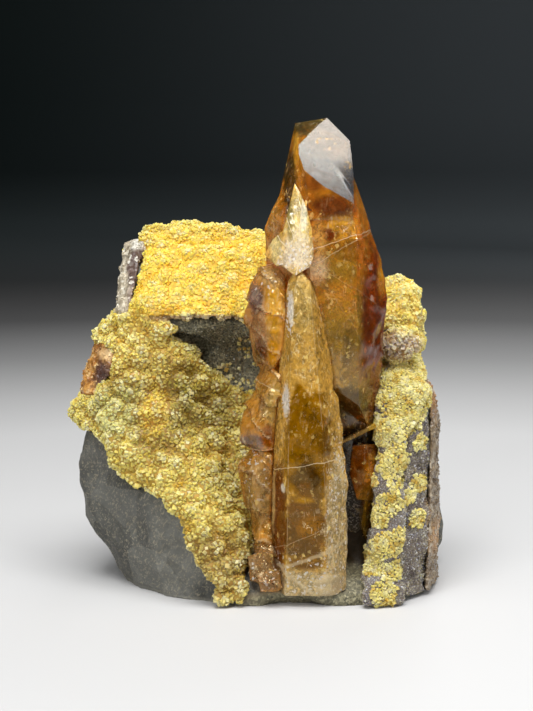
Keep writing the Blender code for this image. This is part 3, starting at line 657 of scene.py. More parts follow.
def scatter(obj, spacing, keep, rng):
    """Even places on a surface, as (place, normal), about a spacing apart."""
    mesh = obj.data
    mesh.calc_loop_triangles()
    triangles = list(mesh.loop_triangles)
    totals = []
    total = 0.0
    for triangle in triangles:
        total += triangle.area
        totals.append(total)
    step = spacing * MM
    taken = {}
    found = []
    for _ in range(int(total / step ** 2 * TRIES)):
        triangle = triangles[min(bisect.bisect(totals, rng.random() * total), len(triangles) - 1)]
        a, b, c = (mesh.vertices[i].co for i in triangle.vertices)
        u, v = rng.random(), rng.random()
        if u + v > 1:
            u, v = 1 - u, 1 - v
        place = a + (b - a) * u + (c - a) * v
        cell = tuple(math.floor(value / step) for value in place)
        near = (taken.get((cell[0] + i, cell[1] + j, cell[2] + k)) for i in (-1, 0, 1) for j in (-1, 0, 1)
                for k in (-1, 0, 1))
        if any((other - place).length < step for other in near if other):
            continue
        if not keep(place, triangle.normal):
            continue
        taken[cell] = place
        found.append((place, triangle.normal.copy()))
    return found


def repeated(name, pattern, placings, tones=None):
    """Many copies of one small closed shape: a matrix places each one, and each may have its own tone."""
    corners_made = [vert.co.copy() for vert in pattern.verts]
    pattern.verts.index_update()
    sides = [tuple(vert.index for vert in face.verts) for face in pattern.faces]
    count = len(corners_made)
    mesh = bpy.data.meshes.new(name)
    mesh.from_pydata([placing @ corner for placing in placings for corner in corners_made], [],
                     [tuple(start * count + i for i in side)
                      for start in range(len(placings)) for side in sides])
    pattern.free()
    if tones is not None:
        tone = mesh.attributes.new("tone", "FLOAT", "POINT")
        tone.data.foreach_set("value", [value for value in tones for _ in range(count)])
    return link(name, mesh)


def rhomb():
    """A calcite rhomb: a cube stood on its corner, 1 to its point and 1 out to its side corners."""
    pattern = bmesh.new()
    bmesh.ops.create_cube(pattern, size=2.0)
    stand = Vector((1, 1, 1)).rotation_difference(Vector((0, 0, 1))).to_matrix()
    bmesh.ops.rotate(pattern, verts=pattern.verts, cent=(0, 0, 0), matrix=stand)
    side = math.sqrt(8 / 3)
    bmesh.ops.scale(pattern, verts=pattern.verts, vec=(1 / side, 1 / side, 1 / math.sqrt(3)))
    return pattern


def standing(place, axis, turn, size):
    """The matrix that stands a small shape on a place, along an axis, turned and scaled."""
    upright = axis.to_track_quat("Z", "Y").to_matrix() @ Matrix.Rotation(turn, 3, "Z")
    return Matrix.Translation(place) @ (upright @ Matrix.Diagonal(size)).to_4x4()


def leaning(axis, amount, rng):
    """An axis, tipped at random."""
    return axis + Vector((rng.gauss(0, amount), rng.gauss(0, amount), rng.gauss(0, amount)))


CRYSTAL_SIZES = (0.65, 1.5, 0.95)        # smallest, largest and usual share of a named size
CRYSTAL_HEIGHTS = (0.9, 1.35)            # least and greatest share of a crystal's own radius


def crystals(name, places, size, rng, lean=0.42, sink=0.25, relief=None):
    """Small closed rhombs on a list of places, each with its own tone, as painted light: paler on top of
    the relief.
    """
    placings, tones = [], []
    for place, normal in places:
        radius = size * MM * rng.triangular(*CRYSTAL_SIZES)
        height = radius * rng.uniform(*CRYSTAL_HEIGHTS)
        axis = leaning(normal, lean, rng)
        placings.append(standing(place - normal * radius * sink, axis, rng.uniform(0, math.tau),
                                 (radius, radius, height)))
        tones.append(rng.random() if relief is None else 0.35 * rng.random() + 0.65 * relief(place))
    return repeated(name, rhomb(), placings, tones)


def join(target, others):
    """One object from several, keeping the tone attribute."""
    for other in others:
        if "tone" not in other.data.attributes:
            other.data.attributes.new("tone", "FLOAT", "POINT")
    if "tone" not in target.data.attributes:
        target.data.attributes.new("tone", "FLOAT", "POINT")
    with bpy.context.temp_override(active_object=target, selected_editable_objects=[target, *others]):
        bpy.ops.object.join()


# Painted light: up on the lit ledge the painted shade between the crystals is milder.
LIT_LEDGE_TOP = ((0, 14, 72), (60, 40, 11))   # up here the crystals are bright and evenly coloured
DARKER, LIGHTER = 0.82, 1.12             # how far a patch's colour drifts


def yellow_colour(finish, base, light, patches):
    """The yellow of small calcite crystals: patches of colour, and each crystal's own tone as painted shade
    and highlight.
    """
    colour = finish.blend(finish.between(finish.grain(5, 4, 0.6), 0.35, 0.65), base, light)
    for middle, reach, tint, edge in patches:
        drift = finish.between(finish.grain(2.5, 3, 0.6), 0.3, 0.7)
        shade_of = finish.blend(drift, tuple(DARKER * c for c in tint),
                                tuple(min(1.0, LIGHTER * c) for c in tint))
        colour = finish.blend(finish.patch(middle, reach, edge, 0.7, 4), colour, shade_of)
    tone = finish.attribute("tone")
    lit_top = finish.patch(*LIT_LEDGE_TOP, 0.25, 0.2)
    # Painted shade: crystals with low tones are darkened; where relief is given, these lie in the creases.
    deep = finish.blend(lit_top, (0.68, 0.53, 0.28), (1.0, 0.80, 0.42))
    colour = finish.blend(finish.between(tone, 0.05, 0.55, 1.0, 0.0), colour, deep, "MULTIPLY")
    # Painted highlight: crystals with the palest tones are paled further.
    colour = finish.blend(finish.between(tone, 0.58, 0.95, 0.0, 0.62), colour, (1.0, 0.90, 0.50))
    return finish.vector("MULTIPLY", colour, (1.0, 0.955, 0.90))


def druse_finish(name, colour_rule):
    finish = Finish(name, {"IOR": 1.6, "Specular IOR Level": 0.32, "Subsurface Weight": 0.75,
                           "Subsurface Scale": 1.2 * MM})
    finish.shader.inputs["Subsurface Radius"].default_value = (1.0, 0.85, 0.35)
    finish.set("Base Color", colour_rule(finish))
    gloss = finish.cells(0.5)
    finish.set("Roughness", finish.between(finish.parts(gloss)[0], 0.84, 0.90, 0.58, 0.14))
    finish.set("Normal", finish.bump(finish.grain(0.3, 3, 0.6), 0.08, 0.7))
    return finish


# Places on the right wing where yellow crystals stand on the grey druse: x, z and radius.
YELLOW_SPOTS = (
    (28.3, 34.3, 2.4), (34, 34.2, 1.8), (30.4, 31.2, 1.6), (27.6, 29.3, 3), (28.4, 26.2, 1.7),
    (33.6, 25.4, 1.9), (31.6, 23, 1.6), (27.2, 22.2, 2.8), (33.2, 18, 1.9), (26.4, 13.4, 3.1),
    (24.6, 19, 2.4), (28.8, 15.5, 1.9), (25.6, 3.2, 2.9), (27, 7.7, 2.5), (23.6, 9, 2.6),
    (30.2, 39.6, 4.2), (25, 37, 3.6), (34.4, 41, 2.2), (22.6, 27, 1.8), (23.4, 32, 2),
)
YELLOW_FROM = 42.0           # above this height the whole wing is yellow


def is_yellow(place):
    """Whether yellow crystals stand here on the right wing."""
    x, _, z = unsurvey(place)
    wobble = 0.7 * lumps(place, 2.0, 45, 2)
    if z > YELLOW_FROM + wobble:
        return True
    return any(math.hypot(x - a, z - b) < radius + wobble for a, b, radius in YELLOW_SPOTS)


# Front-plane outline of the dark hollow under the ledge, cut back into the crust round it.
HOLLOW_OUTLINE = [(-27.5, 61.6), (-24, 60.6), (-20.4, 58.4), (-18, 56.2), (-16.8, 53.2),
                  (-15.2, 50.4), (-12.6, 48.2), (-9, 46.6), (-5.4, 44.2), (2, 42), (2, 60.2),
                  (-3, 60.4), (-6, 61), (-9.5, 60.3), (-13.5, 61.4), (-17.5, 60.6), (-21, 61.3),
                  (-24.5, 61.1)]
DRUSES = {
    # node: seed, base colour, light colour, patches (middle, reach, colour, edge)
    "yellow_druse_left": (31, (0.72, 0.56, 0.12), (0.8, 0.66, 0.19), (
        ((-14, 6, 70), (32, 32, 10.5), (1, 0.67, 0.11), 0.25),
        ((-28, -1, 54), (11, 12, 6), (0.92, 0.7, 0.18), 0.4),
        ((-25, -3, 46), (12, 12, 8), (0.58, 0.44, 0.1), 0.4),
        ((-33, 0, 40), (7, 12, 6), (0.6, 0.56, 0.2), 0.4),
        ((-24, -6, 37), (6, 12, 7), (0.46, 0.35, 0.07), 0.5),
        # Painted shade: this patch and the next darken the valley below the hollow.
        ((-13, -4, 41), (9, 12, 6), (0.36, 0.29, 0.06), 0.5),
        ((-18, -5, 47), (4, 12, 4), (0.34, 0.28, 0.05), 0.5),
        ((-25, -5, 41), (3, 8, 5), (0.84, 0.58, 0.1), 0.5),
        ((-8, -14, 30), (5, 12, 9), (0.5, 0.42, 0.12), 0.5),
        ((-15, 0, 61.1), (12, 14, 0.8), (0.34, 0.25, 0.14), 0.4),
        ((-12, -14, 8), (12, 12, 9), (0.48, 0.36, 0.1), 0.4))),
    "yellow_druse_knob": (33, (1, 0.76, 0.18), (1, 0.84, 0.3), (
        ((29, 2, 54.6), (6.5, 9, 3.6), (0.52, 0.41, 0.31), 0.3),)),
}
GRAIN_SPACING, GRAIN_SIZE = 0.66, 0.56   # mm: the left slope and the knob
WING_SPACING, WING_SIZE = 0.46, 0.50     # mm: yellow crystals on the right wing
FINE_SPACING, FINE_SIZE = 0.38, 0.27     # mm: the grey druse
DRUSE_MOUND = 3.4                        # mm: the width of a mound
LEDGE_HEIGHT, LEDGE_MOUNDS = 62, 0.6     # above this height (mm) the mounds are this much lower
BARITE_CLEARANCE, SHELF_CLEARANCE = 0.2, 0.6   # mm: no crystal grows nearer than this


def crust_base(node, seed, voxel, mound_height, mound_width, extra=(), carve=()):
    """A crust's body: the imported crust, swollen to meet its neighbours, with round mounds."""
    crust = node_copy(node, node + "_crystals")
    combine(crust, list(extra), "UNION")
    combine(crust, list(carve), "DIFFERENCE")
    fuse_to_voxels(crust, voxel)

    def mounded(place, normal):
        wide = 0.9 * lumps(place, 9.0, seed)
        height = mound_height * (LEDGE_MOUNDS if place.z > LEDGE_HEIGHT * MM else 1.0)
        out = height * mounds(place, mound_width, seed) + wide + 0.25 - 0.7 * height
        return normal * out * MM + ragged(place, seed)

    return reshape(crust, mounded)


def encrust(crust, grains, node, finish, angle):
    """A crust and its grains as one finished piece; its imported node is hidden."""
    shade(crust, angle)
    join(crust, [grains])
    wear(crust, finish)
    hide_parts(node)


def open_side(rock_tree, barite_tree, rock_clearance):
    """The rule for where crystals can grow: clear of the stone, the barite and the shelf."""
    def is_open(place, normal):
        return (rock_tree.find_nearest(place)[3] > rock_clearance * MM
                and barite_tree.find_nearest(place)[3] > BARITE_CLEARANCE * MM
                and place.z > SHELF_CLEARANCE * MM)
    return is_open


def make_druse(node, rock_tree, barite_tree):
    seed, base, light, patches = DRUSES[node]
    rng = random.Random(seed)
    carve, extra = [], []
    if node == "yellow_druse_left":
        carve = [prism("hollow", HOLLOW_OUTLINE, -30, 12)]
    else:
        extra = [ball("saddle", (29.4, 3.4, 54.8), (5.6, 5.0, 4.0), 3)]
    crust = crust_base(node, seed, 0.8, 1.7, DRUSE_MOUND, extra, carve)
    places = scatter(crust, GRAIN_SPACING, open_side(rock_tree, barite_tree, 0.7), rng)
    grown = crystals(node + "_grains", places, GRAIN_SIZE, rng, 0.6,
                     relief=lambda place: mounds(place, DRUSE_MOUND, seed))
    finish = druse_finish(node, lambda made: yellow_colour(made, base, light, patches))
    encrust(crust, grown, node, finish, 60)


def grey_colour(finish):
    """Purple-grey fine druse, mottled, with painted pale glints on some crystals, painted shade in the gap,
    and rusty stains.
    """
    drift = finish.grain(4, 5, 0.65)
    colour = finish.ramp(drift, (0.30, (0.13, 0.105, 0.09)), (0.50, (0.29, 0.245, 0.20)),
                         (0.70, (0.50, 0.46, 0.37)))
    # Painted shade: the gap beside the barite is darkened nearly to black.
    gap = finish.patch((20, -4, 21), (3.2, 15, 13), 0.2, 0.6, 2.5)
    rust = finish.patch((35.6, -2, 17), (2.4, 8, 5), 0.4, 1.2, 3)
    colour = finish.layered(colour, (gap, (0.02, 0.013, 0.006)), (rust, (0.42, 0.20, 0.06)))
    tone = finish.attribute("tone")
    colour = finish.blend(finish.between(tone, 0.0, 0.4, 0.9, 0.0), colour, (0.55, 0.50, 0.48), "MULTIPLY")
    # Painted glints: the palest crystals are paled further.
    return finish.blend(finish.between(tone, 0.82, 1.0, 0.0, 0.6), colour, (0.85, 0.80, 0.70))


def make_wing_druse(rock_tree, barite_tree):
    """The right wing: fine purple-grey druse, with yellow crystals in patches on it."""
    grey = druse_finish("grey_druse", grey_colour)
    yellow = druse_finish("wing_yellow", lambda finish: yellow_colour(
        finish, (0.70, 0.58, 0.17), (0.80, 0.70, 0.28), ()))

    is_open = open_side(rock_tree, barite_tree, 0.5)
    for node, slot, seed, mound in (("yellow_druse_right", "yellow_druse", 41, 0.9),
                                    ("grey_druse_right", "grey_druse", 42, 1.0)):
        rng = random.Random(seed)
        skin = crust_base(node, seed, 0.6, mound, 5.0)
        fine = [spot for spot in scatter(skin, FINE_SPACING, is_open, rng) if not is_yellow(spot[0])]
        coarse = [spot for spot in scatter(skin, WING_SPACING, is_open, rng) if is_yellow(spot[0])]
        fine_grains = crystals(node + "_fine", fine, FINE_SIZE, rng, 0.5)
        coarse_grains = crystals(node + "_coarse", coarse, WING_SIZE, rng, 0.6, sink=-0.05,
                                 relief=lambda place: mounds(place, 2.4, seed + 5))
        shade(skin, 60)
        for grains, finish in ((skin, grey), (fine_grains, grey), (coarse_grains, yellow)):
            grains.data.materials.clear()
            grains.data.materials.append(finish.material)
        join(skin, [fine_grains, coarse_grains])
        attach(skin, "root")
        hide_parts(node)


GLITTER_SPACING, GLITTER_SIZE = 0.5, 0.24    # mm
RECESS_SPACING, RECESS_SIZE = 0.7, 0.50      # mm


def make_recess_crystals(rock):
    """Small yellow crystals and dark glitter on the bare wall of the hollow under the ledge."""
    rng = random.Random(47)
    middle, reach = RECESS_WALL

    def on_wall(place, normal):
        offset = Vector(unsurvey(place)) - Vector(middle)
        inside = sum((offset[i] / reach[i]) ** 2 for i in range(3)) < 1
        return inside and normal.y < 0.2

    glitter = scatter(rock, GLITTER_SPACING, on_wall, rng)
    dark = crystals("recess_glitter", glitter, GLITTER_SIZE, rng, 0.6, sink=0.1)

    def clustered(place, normal):
        x, _, z = unsurvey(place)
        right = x > -6.5 and z < 57
        low = z < 48.5 + 0.25 * (x + 14)
        patch = lumps(place, 2.4, 48, 2)
        return on_wall(place, normal) and ((right and patch > 0.12) or (low and patch > 0.05))

    places = scatter(rock, RECESS_SPACING, clustered, rng)
    yellow = crystals("recess_crystals", places, RECESS_SIZE, rng, sink=0.0)
    dark_finish = Finish("recess_glitter", {"Roughness": 0.22, "IOR": 1.55})
    dark_finish.set("Base Color", dark_finish.ramp(
        dark_finish.attribute("tone"), (0.0, (0.07, 0.07, 0.055)), (0.6, (0.18, 0.17, 0.12)),
        (1.0, (0.42, 0.40, 0.28))))
    wear(dark, dark_finish)
    wear(yellow, druse_finish("recess_crystals", lambda finish: yellow_colour(
        finish, (0.66, 0.58, 0.24), (0.80, 0.72, 0.38), ())))


BROWN_RIMS = {
    # node: seed, colours from dark to light, patches (middle, reach, colour, edge), height of the blades
    "brown_calcite_left": (
        51, ((0.13, 0.045, 0.018), (0.44, 0.19, 0.04), (0.7, 0.37, 0.09), (0.9, 0.62, 0.28)), (
        ((-37.5, -2, 48), (2.6, 9, 4.6), (0.1, 0.045, 0.03), 0.4),
        ((-36, -2, 52.6), (4, 9, 1.6), (0.78, 0.55, 0.28), 0.4)), 0.25),
    "brown_calcite_upper": (
        52, ((0.24, 0.19, 0.13), (0.5, 0.43, 0.31), (0.7, 0.62, 0.47), (0.94, 0.9, 0.78)), (
        ((-29.4, 12, 71), (2.7, 12, 5), (0.13, 0.085, 0.07), 0.25),
        ((-30.2, 12, 65), (1.7, 12, 2.4), (0.26, 0.19, 0.15), 0.4),
        ((-30.6, 12, 77), (2.6, 12, 1.8), (0.82, 0.8, 0.72), 0.4)), 0.15),
    "brown_calcite_right": (
        53, ((0.09, 0.06, 0.045), (0.24, 0.17, 0.1), (0.4, 0.31, 0.2), (0.58, 0.5, 0.38)), (
        ((37.6, 0, 12), (3, 12, 4), (0.55, 0.34, 0.16), 0.4),
        ((38.5, 0, 44), (2.4, 12, 5), (0.46, 0.25, 0.1), 0.5)), 0.22),
}


BLADE_PITCH = 2.4                        # mm: the brown calcite's layers
BROWN_SPACING, BROWN_SIZE = 0.62, 0.30   # mm


def make_brown_rims(rock_tree):
    for node, (seed, tones, patches, blade_height) in BROWN_RIMS.items():
        rng = random.Random(seed)
        rim = node_copy(node, node + "_blades")
        fuse_to_voxels(rim, 0.4)

        def bladed(place, normal):
            layer = (place.z + 0.5 * place.x) / MM + 2.2 * lumps(place, 4.0, seed, 2)
            plates = blade_height * (layer / BLADE_PITCH % 1.0)
            out = plates + 0.40 * lumps(place, 2.6, seed) + 0.15 * lumps(place, 0.9, seed)
            return normal * out * MM + ragged(place, seed)

        reshape(rim, bladed)

        def in_clusters(place, normal):
            return rock_tree.find_nearest(place)[3] > 0.6 * MM and lumps(place, 2.4, seed) > 0.12

        places = scatter(rim, BROWN_SPACING, in_clusters, rng)
        grown = crystals(node + "_grains", places, BROWN_SIZE, rng, 0.6)
        finish = Finish(node, {"IOR": 1.6, "Specular IOR Level": 0.4})
        drift = finish.grain(2.6, 5, 0.7, 0.8)
        colour = finish.ramp(drift, *zip((0.30, 0.46, 0.58, 0.72), tones))
        colour = finish.layered(colour, *((finish.patch(middle, reach, edge, 0.8, 2.5), tint)
                                          for middle, reach, tint, edge in patches))
        shard = finish.shards(0.9, 0.8)
        colour = finish.blend(finish.times(shard["Tone"], 0.5), colour, tones[0], "MULTIPLY")
        colour = finish.blend(finish.between(shard["Tone"], 0.86, 0.92, 0.0, 0.7), colour, tones[-1])
        finish.set("Base Color", colour)
        finish.set("Roughness", finish.between(drift, 0.3, 0.7, 0.14, 0.4))
        lean = finish.bump(shard["Lean"], 1.0, 0.4)
        finish.set("Normal", finish.bump(finish.grain(0.6, 4, 0.7), 0.12, 0.6, lean))
        encrust(rim, grown, node, finish, 30)


# ---------------------------------------------------------------- barite
def cut_facet(obj, plane_points):
    """Slice a corner off a crystal's front, along the plane through three points."""
    a, b, c = (survey(p) for p in plane_points)
    normal = (b - a).cross(c - a).normalized()
    slice_off(obj, a, -normal if normal.y > 0 else normal)


MOST_HALVINGS = 7


def refine(obj, longest):
    """Split a faceted solid's edges until none is longer than a length in millimetres."""
    with edited(obj) as bm:
        bmesh.ops.triangulate(bm, faces=bm.faces)
        for _ in range(MOST_HALVINGS):
            long_edges = [e for e in bm.edges if e.calc_length() > longest * MM]
            if not long_edges:
                break
            bmesh.ops.subdivide_edges(bm, edges=long_edges, cuts=1, use_grid_fill=False)
            bmesh.ops.triangulate(bm, faces=bm.faces)


SHARP_EDGE = 12              # degrees: an edge that turns more than this loses its knife edge
SAME_WAY = 0.99              # a face that looks this nearly the mirror face's way is the mirror face


def chamfer(obj, width):
    """Take the knife edge off a solid's sharp edges, and mark the narrow faces and the mirror face."""
    along, up, _, depth = TIP_FACE
    facing = Vector((along, -depth, up))
    with edited(obj) as bm:
        mark = bm.faces.layers.float.new("edge")
        bmesh.ops.dissolve_limit(bm, angle_limit=math.radians(2), verts=bm.verts, edges=bm.edges)
        sharp = [e for e in bm.edges
                 if len(e.link_faces) == 2 and e.calc_face_angle(0) > math.radians(SHARP_EDGE)
                 and max(face.normal.dot(facing) for face in e.link_faces) < SAME_WAY]
        made = bmesh.ops.bevel(bm, geom=sharp, offset=width * MM, offset_type="OFFSET", segments=1,
                               profile=0.5, affect="EDGES", clamp_overlap=True, material=-1)
        for face in made["faces"]:
            face[mark] = 1.0
        mirror = bm.faces.layers.float.new("mirror")
        for face in bm.faces:
            face[mirror] = float(face.normal.dot(facing) > SAME_WAY)


def crisp_border(obj, mark):
    """Keep the border of the marked faces crisp under smooth shading."""
    with edited(obj) as bm:
        layer = bm.faces.layers.float[mark]
        for edge in bm.edges:
            if len({face[layer] > 0.5 for face in edge.link_faces}) == 2:
                edge.smooth = False


AMBER_LIGHT = (0.96, 0.62, 0.05)
BARITE_IOR = 1.636
# Bridges that close the gaps between the scalloped lobes along the crystal's left edge.
LOBE_BRIDGES = (
    [(-1.2, -9, 52), (-2.6, -10, 47), (0, -14, 51), (-1, -16, 46), (3.5, -17, 51), (3.5, -18, 46),
     (3.5, -5, 51), (3.5, -5, 46), (-1, -5, 49)],
    [(-3, -13, 18), (-2.8, -15, 11), (-1.8, -16.6, 18), (-1.6, -18, 11), (1, -17.6, 18), (1.6, -19, 10),
     (3.2, -8, 17), (3.2, -8, 11), (-1, -8, 14)],
)
